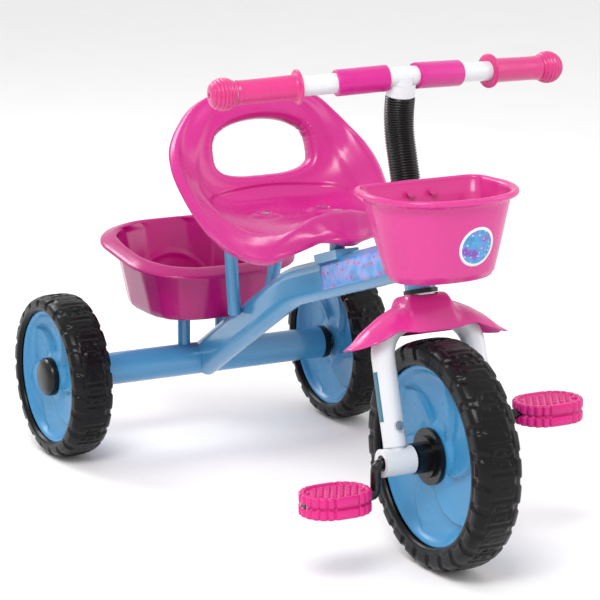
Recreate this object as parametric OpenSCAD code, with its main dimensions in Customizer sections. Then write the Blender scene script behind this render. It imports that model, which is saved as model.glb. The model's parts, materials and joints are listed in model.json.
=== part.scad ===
// Children's tricycle with a direct-drive front wheel, a bucket seat and two baskets.
// Axes: +X forward, +Y to the rider's left, +Z up. Origin on the ground under the middle.
// Names ending in _right and _left are the rider's right (-Y) and left (+Y).

/* [Wheels] */
// Distance between the front and rear axles
wheelbase = 590; // [560:5:620]
// Radius of the front wheel over its tyre
front_r = 127; // [124:1:130]
// Radius of the rear wheels over their tyres
rear_r = 100; // [97:1:103]
// Distance between the middles of the rear wheels
track = 385; // [370:5:410]
// Width of the front tyre
front_tyre_w = 54; // [48:1:56]
// Width of a rear tyre
rear_tyre_w = 52; // [46:1:54]
// Radius of the front rim
front_rim_r = 100; // [97:1:102]
// Radius of the rear rims
rear_rim_r = 81; // [78:1:82]

/* [Frame] */
// Diameter of the tube that carries the rear axle
axle_tube_d = 40; // [36:1:42]
// Depth of the oval main beam
beam_depth = 46; // [42:1:48]
// Width of the oval main beam
beam_w = 28; // [24:1:30]
// Length of the beam's rear run, from the axle to its bend
beam_rear_run = 279; // [270:1:288]
// Slope of the beam's rear run
beam_rear_slope = 30.7; // [30:0.1:31.5]
// Slope of the beam's front run
beam_front_slope = 18; // [17:0.5:19]
// Lean of the steering axis from the vertical
head_rake = 17; // [16:0.5:18]

/* [Steering] */
// Diameter of the handlebar tube
bar_d = 22; // [20:1:24]
// Half of the handlebar's length, to the middle of the ball end
bar_reach = 205; // [195:1:215]
// Angle by which each side of the handlebar is swept back
bar_sweep = 8; // [4:0.5:9]
// Diameter of a fork leg
leg_d = 26; // [24:1:28]
// Distance of a fork leg's middle from the middle of the wheel
leg_y = 57; // [56:1:60]
// Length of a crank arm
crank_r = 34; // [30:1:38]
// Angle of the right crank arm, from straight down towards the front
crank_angle = 0; // [-90:5:90]

/* [Seat and baskets] */
// Thickness of the moulded seat
seat_t = 4; // [3:0.5:5]
// Wall of the baskets
basket_t = 2.5; // [2:0.5:3]
// Width of the rear basket over its rim
rear_basket_w = 226; // [210:2:240]
// Width of the front basket over its rim
front_basket_w = 176; // [160:2:184]

/* [Hidden] */
$fn = 64;
hull_fn = 32;
rod_sides = 24;
rod_bend_steps = 5;
eps = 0.01;
run_gap = 0.05;
weld_gap = 0.02;

// ---- Rear basket, whose rim is the rearmost part ----
rear_basket_floor = 162;
rear_basket_rim_z = 245;
rear_basket_tilt = 7;
rear_basket_l = 224;
rear_rim_flare = 17;
rear_rim_drop = 8;
rear_basket_back = 17;
rear_reach = rear_basket_back + rear_basket_l / 2 * cos(rear_basket_tilt)
    + rear_rim_drop * sin(rear_basket_tilt);

rear_x = -(wheelbase + front_r - rear_reach) / 2;
front_x = rear_x + wheelbase;
tube_t = 2;

frame_blue = "#4a90d0";
seat_pink = "#d63a92";
grip_pink = "#e8489a";
basket_pink = "#d95aa6";
rear_basket_pink = "#b8208c";
pedal_pink = "#e0208c";
enamel_white = "#eef1f4";
tyre_black = "#1c1c1e";
plastic_black = "#222224";
steel = "#b8bcc2";

// ---- Main beam ----
beam_start = 4;
beam_bend_r = 250;
beam_turn = beam_rear_slope - beam_front_slope;
beam_tangent = beam_bend_r * tan(beam_turn / 2);
beam_z0 = rear_r - 2;
bend_x = rear_x + beam_rear_run * cos(beam_rear_slope);
bend_z = beam_z0 + beam_rear_run * sin(beam_rear_slope);
// The steering axis is at this X at height z
function axis_x(z) = front_x - (z - front_r) * tan(head_rake);
beam_front_run = (axis_x(bend_z) - bend_x) / (cos(beam_front_slope)
    + sin(beam_front_slope) * tan(head_rake));
beam_oval_steps = 16;
beam_bend_steps = 8;
// Height of the beam's upper face at x on its front run
function beam_top(x) = bend_z + (x - bend_x) * tan(beam_front_slope)
    + beam_depth / 2 / cos(beam_front_slope);

// ---- Head tube and bearings, measured up the steering axis from the front axle ----
head_r = 17;
head_bore_r = 14.5;
head_lo = 181;
head_hi = 261;
bush_flange_t = 4.5;
bush_flange_r = 19;
bush_depth = 12;
steerer_r = 11;

// ---- Fork ----
crown_h = 150;
leg_bend_r = 38;
leg_r = leg_d / 2;
leg_foot = 15.8;
crown_race_h = 21;
race_lo = crown_h + 24;
race_hi = head_lo - bush_flange_t - 0.5;
race_r = 16;
housing_r = 15.5;
housing_in = 40;
housing_out = 76.5;
housing_bolt_h = 38;
rod_r = 6;
crank_bend_r = 7.5;
crank_bush_r = 9;

// ---- Stem and handlebar ----
stem_r = 13.4;
stem_lo = 272;
stem_bend_h = 340;
stem_bend_r = 100;
stem_turn = 25;
stem_top_run = 32;
stem_knee = stem_bend_r * tan(stem_turn / 2);
stem_knee_at = [0, 0, stem_bend_h + stem_knee];
stem_top = stem_knee_at + (stem_knee + stem_top_run) * [sin(stem_turn), 0, cos(stem_turn)];
sleeve_r = 16.5;
sleeve_lo = 300;
bar_r = bar_d / 2;
bar_plug = 8;
neck_r = 14.6;
neck_run = 13;
foam_r = 14.5;
foam_in = 17.5;
foam_out = 77;
grip_in = 119;
grip_flange_r = 19;
grip_body_r = 13.5;
grip_ball_r = 18;
grip_tip = 15;

// ---- Pedals ----
arm_y = 83.5;
spindle_r = 5;
spindle_shoulder = 91.4;
pedal_in = 92;
pedal_out = 174;
pedal_depth = 60;
pedal_t = 25;
pedal_recess = 7.5;
pedal_nut_r = 8;

// ---- Wheels ----
front_hub_flange_r = 31.5;
hub_neck_r = 17;
front_disc = 15;
rear_disc = 15;
rear_axle_r = 5;
hub_cap_r = 23.5;
hub_cap_h = 14;
hub_cap_void_r = 10.5;
hub_cap_void_h = 9.3;
rear_y = track / 2;
axle_tube_half = rear_y - 29.5;
plug_flange_t = 8;
axle_nut_y = rear_y + 18;
axle_half = rear_y + 23.5;

// ---- Seat, with its middle at y = 0, measured from the rear axle's X and the ground ----
// Middle line from the front lip over the pommel and the pan up the back: [x, z]
seat_mid = [[386, 328], [377, 338], [357, 350], [328, 340], [290, 332], [250, 330],
    [214, 331], [188, 336], [173, 350], [167, 372], [162, 398], [157, 424], [151, 446], [144, 460]];
// Rim on one side at the same stations: [x, y, z]
seat_rim = [[371, 38, 322], [366, 58, 317], [358, 76, 311], [345, 92, 306], [315, 105, 308],
    [280, 113, 320], [243, 120, 345], [206, 123, 374], [183, 119, 394], [167, 111, 409],
    [156, 98, 426], [149, 81, 443], [146, 55, 456], [143, 27, 463]];
seat_steps = 2;
seat_cells = 16;
seat_bolt_x = rear_x + 242;
seat_bolt_y = 38;
strut_r = 8;
strut_bend_r = 22;
strut_foot = [rear_x + 130, beam_w / 2 + strut_r + 0.1, 187];
strut_knee = [rear_x + 146, seat_bolt_y, 314];
strut_end_x = rear_x + 256;
seat_post_x = rear_x + 348;
seat_hole_lo = 364;
seat_hole_hi = 430;
seat_hole_half = 64;
seat_bolt_head_z = 330.2;
seat_post_head_z = 349.9;
post_top = 339;
plate_lo = strut_knee[2] + strut_r + weld_gap;
plate_t = 3;

rear_basket_x = rear_x - rear_basket_back;
basket_post_x = rear_x - 4;
basket_post_y = 26;
basket_post_r = 8;

// ---- Front basket ----
front_basket_floor = 322;
front_basket_rim_z = 418;
front_basket_back = axis_x(front_basket_rim_z) + 20;
front_basket_front = front_basket_back + 126;
basket_base_back = axis_x(front_basket_floor) + 24;
basket_base_front = basket_base_back + 62;
front_rim_lip = 7;
bracket_h = 284;
bracket_tall = 14;
bracket_plate = 20.5;

// ---- Fender ----
fender_half = 98;
fender_t = 3;
fender_rows = 12;
fender_cols = 28;

// ---- Helpers ----

// Puts children in the steering frame: origin on the front axle, Z up the steering axis
module on_steering() {
    translate([front_x, 0, front_r]) rotate([0, -head_rake, 0]) children();
}

// Cylinder along Y from y0 to y1
module y_rod(r, y0, y1) {
    translate([0, y1, 0]) rotate([90, 0, 0]) cylinder(r = r, h = y1 - y0);
}

// Cylinder between two points
module rod_between(a, b, r) {
    d = b - a;
    length = norm(d);
    turn = [0, acos(d[2] / length), atan2(d[1], d[0])];
    translate(a) rotate(turn) cylinder(r = r, h = length);
}

// Ball that joins two rods of radius r at knee, where direction u turns into direction v
module knee_ball(knee, u, v, r) {
    inward = (v - (u * v) * u) / norm(v - (u * v) * u);
    pole = cross(inward, u);
    multmatrix([[inward[0], u[0], pole[0], knee[0]], [inward[1], u[1], pole[1], knee[1]],
        [inward[2], u[2], pole[2], knee[2]], [0, 0, 0, 1]]) sphere(r = r);
}

// Closed solid through a list of equal rings of points
module swept(rings) {
    n = len(rings[0]);
    last = len(rings) - 1;
    sides = [for (i = [0:last - 1], j = [0:n - 1]) let (k = (j + 1) % n) each
        [[i * n + j, (i + 1) * n + j, (i + 1) * n + k], [i * n + j, (i + 1) * n + k, i * n + k]]];
    caps = [[for (j = [0:n - 1]) j], [for (j = [n - 1:-1:0]) last * n + j]];
    polyhedron(points = [for (ring = rings) each ring], faces = concat(sides, caps));
}

// Stations [point, direction] round a bend at knee, from direction u to direction v
function bend_stations(knee, u, v, bend_r) =
    let (turn = acos(u * v),
        inward = (v - (u * v) * u) / norm(v - (u * v) * u),
        centre = knee - bend_r * tan(turn / 2) * u + bend_r * inward)
    [for (i = [0:rod_bend_steps]) let (a = turn * i / rod_bend_steps)
        [centre + bend_r * (sin(a) * u - cos(a) * inward), cos(a) * u + sin(a) * inward]];

// Rings of radius r round stations that all lie square to the direction across
function rod_rings(stations, across, r) = [for (station = stations) [for (i = [0:rod_sides - 1])
    let (a = 360 * i / rod_sides)
    station[0] + r * (cos(a) * across + sin(a) * cross(station[1], across))]];

// Turns a profile drawn as [radius, distance outward] about an axle that points to side * Y
module lathe_y(side) {
    rotate([-90 * side, 0, 0]) rotate_extrude() children();
}

// Closed sheet between two equal grids of points; rows run backward and columns to the left
module thick_sheet(upper, lower) {
    rows = len(upper);
    cols = len(upper[0]);
    count = rows * cols;
    points = concat([for (row = upper) each row], [for (row = lower) each row]);
    quads_upper = [for (i = [0:rows - 2], j = [0:cols - 2])
        [i * cols + j, (i + 1) * cols + j, (i + 1) * cols + j + 1, i * cols + j + 1]];
    quads_lower = [for (q = quads_upper) [q[3] + count, q[2] + count, q[1] + count, q[0] + count]];
    edge = concat([for (j = [0:cols - 1]) j],
        [for (i = [1:rows - 1]) i * cols + cols - 1],
        [for (j = [cols - 2:-1:0]) (rows - 1) * cols + j],
        [for (i = [rows - 2:-1:1]) i * cols]);
    quads_edge = [for (k = [0:len(edge) - 1])
        let (a = edge[k], b = edge[(k + 1) % len(edge)]) [a, b, b + count, a + count]];
    quads = concat(quads_upper, quads_lower, quads_edge);
    faces = [for (q = quads) each [[q[0], q[1], q[2]], [q[0], q[2], q[3]]]];
    polyhedron(points = points, faces = faces);
}

// Point on a smooth curve through the list at station t, counted in list steps
function smooth_point(list, t) =
    let (last = len(list) - 1,
        i = min(floor(t), last - 1),
        f = t - i,
        a = list[max(i - 1, 0)],
        b = list[i],
        c = list[i + 1],
        d = list[min(i + 2, last)])
    0.5 * ((2 * b) + (c - a) * f + (2 * a - 5 * b + 4 * c - d) * f * f
        + (3 * b - a - 3 * c + d) * f * f * f);

// ---- Frame ----

// Oval section of the beam, grown by grow on every side, as [up, left]
function beam_oval(grow) =
    let (r = beam_w / 2 + grow, half = beam_depth / 2 - beam_w / 2)
    [for (end = [1, -1], i = [0:beam_oval_steps])
        let (a = 180 * i / beam_oval_steps + (end > 0 ? 0 : 180)) [end * half + r * sin(a), r * cos(a)]];

// Middle of the beam at a distance along one run from its bend, as [x, z]
function beam_at(slope, along) = [bend_x + along * cos(slope), bend_z + along * sin(slope)];

// Middle of the beam on its bend at a slope
function beam_bend_at(slope) =
    beam_at(beam_front_slope, beam_tangent) + beam_bend_r * [sin(beam_front_slope) - sin(slope),
        cos(slope) - cos(beam_front_slope)];

// Rings of the beam, with each end run on by extra
function beam_rings(grow, extra) =
    let (oval = beam_oval(grow),
        ends = [[beam_at(beam_rear_slope, beam_start - beam_rear_run - extra), beam_rear_slope]],
        bend = [for (i = [0:beam_bend_steps])
            let (slope = beam_rear_slope - beam_turn * i / beam_bend_steps) [beam_bend_at(slope), slope]],
        tip = [[beam_at(beam_front_slope, beam_front_run + extra), beam_front_slope]])
    [for (station = concat(ends, bend, tip)) let (c = station[0], slope = station[1])
        [for (p = oval) [c[0] - p[0] * sin(slope), p[1], c[1] + p[0] * cos(slope)]]];

module main_beam() {
    color(frame_blue) difference() {
        swept(beam_rings(0, 0));
        swept(beam_rings(-tube_t, 1));
        translate([rear_x, 0, rear_r]) y_rod(axle_tube_d / 2 + weld_gap, -track, track);
        on_steering() translate([0, 0, head_lo - 40])
            cylinder(r = head_r + weld_gap, h = head_hi - head_lo + 80);
    }
}

module rear_axle_tube() {
    color(frame_blue) translate([rear_x, 0, rear_r]) difference() {
        y_rod(axle_tube_d / 2, -axle_tube_half, axle_tube_half);
        y_rod(axle_tube_d / 2 - tube_t, -axle_tube_half - 1, axle_tube_half + 1);
    }
}

module head_tube() {
    color(frame_blue) on_steering() translate([0, 0, head_lo]) difference() {
        cylinder(r = head_r, h = head_hi - head_lo);
        translate([0, 0, -1]) cylinder(r = head_bore_r, h = head_hi - head_lo + 2);
    }
}

// Flanged bush in one end of the head tube; up is 1 at the top and -1 at the bottom
module head_bush(up) {
    h = (up > 0) ? head_hi : head_lo;
    color(plastic_black) on_steering() translate([0, 0, h]) rotate([up > 0 ? 0 : 180, 0, 0])
        difference() {
            union() {
                cylinder(r = bush_flange_r, h = bush_flange_t);
                translate([0, 0, -bush_depth]) cylinder(r = head_bore_r - weld_gap, h = bush_depth + 1);
            }
            translate([0, 0, -bush_depth - 1])
                cylinder(r = steerer_r + run_gap, h = bush_depth + bush_flange_t + 2);
        }
}

module head_bush_upper() {
    head_bush(1);
}

module head_bush_lower() {
    head_bush(-1);
}

module seat_strut(side) {
    foot = [strut_foot[0], side * strut_foot[1], strut_foot[2]];
    knee = [strut_knee[0], side * strut_knee[1], strut_knee[2]];
    up = (knee - foot) / norm(knee - foot);
    ahead = [1, 0, 0];
    stations = concat([[foot, up]], bend_stations(knee, up, ahead, strut_bend_r),
        [[[strut_end_x, knee[1], knee[2]], ahead]]);
    color(frame_blue) swept(rod_rings(stations, cross(up, ahead) / norm(cross(up, ahead)), strut_r));
}

module seat_strut_right() {
    seat_strut(-1);
}

module seat_strut_left() {
    seat_strut(1);
}

module seat_cross_plate() {
    color(frame_blue) difference() {
        translate([seat_bolt_x - 14, -seat_bolt_y - 14, plate_lo])
            cube([28, 2 * seat_bolt_y + 28, plate_t]);
        for (side = [-1, 1]) translate([seat_bolt_x, side * seat_bolt_y, plate_lo - 1])
            cylinder(r = 3.2, h = plate_t + 2);
    }
}

// Saddle on the beam and a short tube up to the seat's pommel
module seat_front_post() {
    color(frame_blue) difference() {
        union() {
            translate([seat_post_x, 0, beam_top(seat_post_x) - 6]) rotate([0, -beam_front_slope, 0])
                translate([-27, -15, 0]) cube([54, 30, 11]);
            translate([seat_post_x, 0, beam_top(seat_post_x) - 4])
                cylinder(r = 9, h = post_top - beam_top(seat_post_x) + 4);
        }
        swept(beam_rings(weld_gap, 0));
        translate([seat_post_x, 0, post_top - 20]) cylinder(r = 3.2, h = 30);
    }
}

module basket_post(side) {
    color(frame_blue) difference() {
        translate([basket_post_x, side * basket_post_y, rear_r])
            cylinder(r = basket_post_r, h = rear_basket_floor - 0.1 - rear_r);
        translate([rear_x, 0, rear_r]) y_rod(axle_tube_d / 2 + weld_gap, -60, 60);
        translate([basket_post_x, side * basket_post_y, rear_basket_floor - 16])
            cylinder(r = 2.5, h = 20);
    }
}

module basket_post_right() {
    basket_post(-1);
}

module basket_post_left() {
    basket_post(1);
}

module rear_axle_rod() {
    color(steel) translate([rear_x, 0, rear_r]) y_rod(rear_axle_r, -axle_half, axle_half);
}

module axle_plug(side) {
    color(plastic_black) translate([rear_x, side * axle_tube_half, rear_r]) lathe_y(side)
        difference() {
            union() {
                translate([0, -14]) square([axle_tube_d / 2 - tube_t - weld_gap, 15]);
                square([axle_tube_d / 2 + 0.5, plug_flange_t]);
                square([9, plug_flange_t + 3.5]);
            }
            translate([-1, -20]) square([rear_axle_r + 1 + weld_gap, 40]);
        }
}

module axle_plug_right() {
    axle_plug(-1);
}

module axle_plug_left() {
    axle_plug(1);
}

module axle_nuts() {
    color(steel) for (side = [-1, 1]) translate([rear_x, side * axle_nut_y, rear_r]) lathe_y(side)
        translate([rear_axle_r + weld_gap, 0]) square([4, 4.5]);
}

// ---- Seat ----

// Point of the seat's upper face at station t and side position s from -1 to 1
function seat_face(t, s) =
    let (m = smooth_point(seat_mid, t),
        r = smooth_point(seat_rim, t),
        a = abs(s),
        lift = a * a * (2 * a - 1) * 0.5 + a * a * a * a * 0.5,
        slide = a * a)
    [rear_x + m[0] + (r[0] - m[0]) * slide, s * r[1], m[1] + (r[2] - m[1]) * lift];

// The same point on the lower face, seat_t behind the upper one
function seat_under(t, s) =
    let (d = 0.05,
        last = len(seat_mid) - 1,
        du = seat_face(min(t + d, last), s) - seat_face(max(t - d, 0), s),
        ds = seat_face(t, min(s + d, 1)) - seat_face(t, max(s - d, -1)),
        n = cross(ds, du))
    seat_face(t, s) - seat_t * n / norm(n);

module seat_shell() {
    rows = (len(seat_mid) - 1) * seat_steps;
    upper = [for (i = [0:rows]) [for (j = [0:seat_cells])
        seat_face(i / seat_steps, 2 * j / seat_cells - 1)]];
    lower = [for (i = [0:rows]) [for (j = [0:seat_cells])
        seat_under(i / seat_steps, 2 * j / seat_cells - 1)]];
    thick_sheet(upper, lower);
}

// Outline of the handle hole: a flat bottom under a wide arch, as [y, z]
module seat_hole_outline() {
    flat_half = seat_hole_half - 12;
    rise = seat_hole_hi - seat_hole_lo;
    polygon(concat([[-flat_half, seat_hole_lo]],
        [[flat_half, seat_hole_lo]],
        [for (a = [-10:10:190]) [seat_hole_half * cos(a),
            seat_hole_lo + rise * 0.42 + rise * 0.58 * sin(a)]]));
}

module seat() {
    color(seat_pink) difference() {
        seat_shell();
        translate([rear_x + 60, 0, 0]) rotate([90, 0, 90]) linear_extrude(160) seat_hole_outline();
        for (side = [-1, 1]) translate([seat_bolt_x, side * seat_bolt_y, 300])
            cylinder(r = 3.2, h = 60);
        translate([seat_post_x, 0, 300]) cylinder(r = 3.2, h = 80);
    }
}

module bolt_down(length, head_r, head_h) {
    translate([0, 0, -length]) cylinder(r = 3, h = length);
    cylinder(r = head_r, h = head_h);
}

module seat_bolts() {
    color(steel) {
        for (side = [-1, 1]) translate([seat_bolt_x, side * seat_bolt_y, seat_bolt_head_z])
            bolt_down(seat_bolt_head_z - plate_lo - 0.1, 6, 3);
        translate([seat_post_x, 0, seat_post_head_z]) bolt_down(24, 6, 3);
    }
}

// ---- Rear basket ----

// Rounded rectangle slab, length along X and width along Y, that hull() can take
module rounded_slab(length, width, corner, t) {
    for (sx = [-1, 1], sy = [-1, 1])
        translate([sx * (length / 2 - corner), sy * (width / 2 - corner), 0])
            cylinder(r = corner, h = t, $fn = hull_fn);
}

module rear_basket_body(inset, base, extra) {
    hull() {
        translate([rear_basket_x, 0, base])
            rounded_slab(152 - 2 * inset, 158 - 2 * inset, 30 - inset / 2, 0.5);
        translate([rear_basket_x, 0, rear_basket_rim_z]) rotate([0, rear_basket_tilt, 0])
            translate([0, 0, extra])
            rounded_slab(rear_basket_l - 2 * rear_rim_flare - 2 * inset,
                rear_basket_w - 2 * rear_rim_flare - 2 * inset, 42 - inset / 2, 0.5);
    }
}

module rear_basket() {
    color(rear_basket_pink) difference() {
        union() {
            rear_basket_body(0, rear_basket_floor, 0);
            translate([rear_basket_x, 0, rear_basket_rim_z]) rotate([0, rear_basket_tilt, 0])
                hull() {
                    translate([0, 0, -rear_rim_drop]) rounded_slab(rear_basket_l, rear_basket_w, 58, 1.5);
                    translate([0, 0, -1.5]) rounded_slab(rear_basket_l - 2 * rear_rim_flare + 6,
                        rear_basket_w - 2 * rear_rim_flare + 6, 46, 2);
                }
        }
        rear_basket_body(basket_t, rear_basket_floor + basket_t, 4);
        for (side = [-1, 1]) translate([basket_post_x, side * basket_post_y, rear_basket_floor]) {
            translate([0, 0, -1]) cylinder(r = 2.7, h = 10);
            translate([0, 0, 1.2]) cylinder(r = 5.2, h = 8);
        }
    }
}

module rear_basket_screws() {
    color(steel) for (side = [-1, 1])
        translate([basket_post_x, side * basket_post_y, rear_basket_floor + 1.25]) {
            translate([0, 0, -11]) cylinder(r = 2.4, h = 11);
            cylinder(r = 5, h = 1.2);
        }
}

// ---- Fork ----

// Upright cylinder between two heights
module cylinder_between(lo, hi, r) {
    translate([0, 0, lo]) cylinder(r = r, h = hi - lo);
}

module fork_steerer() {
    color(enamel_white) on_steering() difference() {
        union() {
            cylinder_between(crown_h, crown_h + crown_race_h, race_r);
            cylinder_between(crown_h + 20, stem_lo + 22, steerer_r);
            cylinder_between(race_lo + 0.2, race_hi, race_r);
        }
        cylinder_between(crown_h, stem_lo + 40, steerer_r - tube_t);
        translate([0, 0, crown_h]) y_rod(leg_r + weld_gap, -40, 40);
    }
}

// Left fork leg: out from the crown, round the bend and down, with a section laid along it
module leg_run() {
    reach = leg_y - leg_bend_r;
    translate([0, 0.05, crown_h]) rotate([-90, 0, 0]) linear_extrude(reach - 0.05) children();
    translate([0, reach, crown_h - leg_bend_r]) rotate([0, 90, 0]) rotate([0, 0, 90])
        rotate_extrude(angle = 90) translate([leg_bend_r, 0]) children();
    translate([0, leg_y, leg_foot])
        linear_extrude(crown_h - leg_bend_r - leg_foot) children();
}

module ring_section(r, wall) {
    difference() {
        circle(r = r);
        circle(r = r - wall);
    }
}

module fork_leg(side) {
    color(enamel_white) on_steering() mirror([0, side > 0 ? 0 : 1, 0]) difference() {
        leg_run() ring_section(leg_r, tube_t);
        translate([0, leg_y, housing_bolt_h]) rotate([0, 90, 0])
            cylinder(r = 2.7, h = 60, center = true);
    }
}

module fork_leg_right() {
    fork_leg(-1);
}

module fork_leg_left() {
    fork_leg(1);
}

module axle_housing(side) {
    lo = side > 0 ? housing_in : -housing_out;
    hi = side > 0 ? housing_out : -housing_in;
    color(enamel_white) on_steering() difference() {
        union() {
            y_rod(housing_r, lo, hi);
            translate([0, side * leg_y, 0]) cylinder(r = leg_r - tube_t - 0.1, h = housing_bolt_h + 14);
        }
        y_rod(crank_bush_r, lo - 1, hi + 1);
        translate([0, side * leg_y, housing_bolt_h]) rotate([0, 90, 0])
            cylinder(r = 2.7, h = 60, center = true);
    }
}

module axle_housing_right() {
    axle_housing(-1);
}

module axle_housing_left() {
    axle_housing(1);
}

module housing_bolts() {
    color(steel) on_steering() for (side = [-1, 1])
        translate([0, side * leg_y, housing_bolt_h]) rotate([0, 90, 0]) {
            cylinder(r = 2.5, h = 2 * leg_r + 8, center = true);
            translate([0, 0, leg_r + weld_gap]) cylinder(r = 5, h = 3.5);
            translate([0, 0, -leg_r - 4 - weld_gap]) cylinder(r = 4.6, h = 4, $fn = 6);
        }
}

module crank_bush(side) {
    lo = side > 0 ? housing_in + 1 : -housing_out + 1;
    hi = side > 0 ? housing_out - 1 : -housing_in - 1;
    color(plastic_black) on_steering() difference() {
        y_rod(crank_bush_r - weld_gap, lo, hi);
        y_rod(rod_r + run_gap, lo - 1, hi + 1);
    }
}

module crank_bush_right() {
    crank_bush(-1);
}

module crank_bush_left() {
    crank_bush(1);
}

module steerer_nut() {
    lo = head_hi + bush_flange_t + 0.5;
    color(steel) on_steering() difference() {
        translate([0, 0, lo]) cylinder(r = 17, h = stem_lo - lo - 0.3, $fn = 6);
        translate([0, 0, lo - 1]) cylinder(r = steerer_r + weld_gap, h = 12);
    }
}

// ---- Stem and handlebar ----

// Rod along the stem from height lo, through its knee, to drop short of the bar
module stem_rod(r, lo, drop) {
    end = stem_top - drop * [sin(stem_turn), 0, cos(stem_turn)];
    translate([0, 0, lo]) cylinder(r = r, h = stem_knee_at[2] - lo);
    translate(stem_knee_at) rotate([90, 0, 0]) sphere(r = r);
    rod_between(stem_knee_at, end, r);
}

// Puts children at the middle of the handlebar, square to the steering axis
module on_handlebar() {
    on_steering() translate(stem_top) children();
}

module stem_tube() {
    color(enamel_white) difference() {
        on_steering() difference() {
            stem_rod(stem_r, stem_lo, 0);
            cylinder_between(stem_lo - 1, stem_lo + 24, steerer_r + weld_gap);
        }
        on_handlebar() bar_solid(40, bar_r + weld_gap);
    }
}

// Hose over the stem, from the basket's bracket to the neck
module stem_sleeve() {
    color(plastic_black) on_steering() difference() {
        stem_rod(sleeve_r, sleeve_lo, bar_r + neck_run - 2);
        stem_rod(stem_r + weld_gap, sleeve_lo - 1, 0);
    }
}

// Directions along the bar, into its middle from the left and out of it to the right
in_left = [sin(bar_sweep), -cos(bar_sweep), 0];
out_right = [-sin(bar_sweep), -cos(bar_sweep), 0];

// Puts children at the bar's middle with Y outward along one swept run
module on_bar_side(side) {
    mirror([0, side > 0 ? 0 : 1, 0]) rotate([0, 0, bar_sweep]) children();
}

// Lays a section along one swept run of the bar, from and to distances out from the middle
module bar_run(side, from, to) {
    on_bar_side(side) rotate([-90, 0, 0]) translate([0, 0, from]) linear_extrude(to - from) children();
}

module bar_solid(half, r) {
    rod_between(-half * in_left, [0, 0, 0], r);
    knee_ball([0, 0, 0], in_left, out_right, r);
    rod_between([0, 0, 0], half * out_right, r);
}

module handlebar_tube() {
    half = bar_reach + 3;
    color(enamel_white) on_handlebar() difference() {
        bar_solid(half, bar_r);
        rod_between(-(half + 1) * in_left, -bar_plug * in_left, bar_r - tube_t);
        rod_between(bar_plug * out_right, (half + 1) * out_right, bar_r - tube_t);
    }
}

// Neck that the bar sits in, on top of the stem
module handlebar_neck() {
    color(enamel_white) difference() {
        on_steering() translate(stem_top) rotate([0, stem_turn, 0])
            translate([0, 0, 3 - bar_r - neck_run]) difference() {
                cylinder(r = neck_r + 1.4, h = neck_run);
                translate([0, 0, -1]) cylinder(r = stem_r + weld_gap, h = neck_run + 2);
            }
        on_handlebar() bar_solid(40, bar_r + weld_gap);
    }
}

module foam_sleeve(side) {
    color(rear_basket_pink) on_handlebar() bar_run(side, foam_in, foam_out)
        ring_section(foam_r, foam_r - bar_r - weld_gap);
}

module foam_sleeve_right() {
    foam_sleeve(-1);
}

module foam_sleeve_left() {
    foam_sleeve(1);
}

// Grip: inner flange, plain body and ribbed ball end, closed at its tip
module grip(side) {
    start = grip_in;
    ball = bar_reach;
    color(grip_pink) on_handlebar() on_bar_side(side) rotate([-90, 0, 0]) difference() {
        union() {
            translate([0, 0, start]) cylinder(r = grip_flange_r, h = 3);
            translate([0, 0, start]) cylinder(r = grip_body_r, h = ball - start);
            intersection() {
                translate([0, 0, ball]) sphere(r = grip_ball_r);
                translate([0, 0, ball - grip_tip]) cylinder(r = 30, h = 2 * grip_tip);
            }
        }
        translate([0, 0, start - 1]) cylinder(r = bar_r + weld_gap, h = ball + 3.5 - start + 1);
    }
}

module grip_right() {
    grip(-1);
}

module grip_left() {
    grip(1);
}

// ---- Front basket ----

// D-shaped slab, flat at the back and round at the front, that hull() can take
module d_slab(back, front, width, inset, t) {
    back_corner = 16;
    front_corner = (front - back) * 0.45;
    for (side = [-1, 1]) {
        translate([back + back_corner + inset, side * (width / 2 - back_corner - inset), 0])
            cylinder(r = back_corner, h = t, $fn = hull_fn);
        translate([front - front_corner - inset, side * (width / 2 - front_corner - inset), 0])
            cylinder(r = front_corner, h = t, $fn = hull_fn);
    }
}

module front_basket_body(inset, base, rise) {
    hull() {
        translate([0, 0, base]) d_slab(basket_base_back, basket_base_front, 122, inset, 0.5);
        translate([0, 0, front_basket_rim_z + rise])
            d_slab(front_basket_back + 5, front_basket_front - front_rim_lip,
                front_basket_w - 2 * front_rim_lip, inset, 0.5);
    }
}

module front_basket() {
    color(basket_pink) difference() {
        union() {
            front_basket_body(0, front_basket_floor, 0);
            translate([0, 0, front_basket_rim_z - 6]) hull()
                d_slab(front_basket_back, front_basket_front, front_basket_w, 0, 7);
        }
        front_basket_body(basket_t, front_basket_floor + basket_t, 3);
        front_basket_screw_holes(2.4);
    }
}

// Screw line through the basket's back wall into the bracket
module front_basket_screw_holes(r) {
    for (side = [-1, 1]) on_steering() translate([0, side * 14, bracket_h])
        rotate([0, 90, 0]) cylinder(r = r, h = 60);
}

module basket_bracket() {
    color(plastic_black) on_steering() difference() {
        union() {
            translate([0, 0, bracket_h - bracket_tall / 2]) cylinder(r = 17, h = bracket_tall);
            translate([0, -22, bracket_h - bracket_tall / 2]) cube([bracket_plate, 44, bracket_tall]);
        }
        translate([0, 0, bracket_h - 11]) cylinder(r = stem_r + weld_gap, h = 22);
        front_basket_screw_line(1.9);
    }
}

// The same screw line, drawn inside the steering frame
module front_basket_screw_line(r) {
    for (side = [-1, 1]) translate([0, side * 14, bracket_h])
        rotate([0, 90, 0]) cylinder(r = r, h = 60);
}

module front_basket_screws() {
    color(steel) on_steering() for (side = [-1, 1]) translate([18, side * 14, bracket_h])
        rotate([0, 90, 0]) {
            cylinder(r = 1.8, h = 14);
            translate([0, 0, 12.5]) cylinder(r = 4.5, h = 2.5);
        }
}

// ---- Fender ----

// Height of the fender's crest at a distance from the middle
function fender_crest(y) = lookup(y, [[0, 174], [22, 174], [27, 172], [33, 169], [45, 164],
    [57, 157], [75, 143], [88, 132], [98, 126.5]]);
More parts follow.
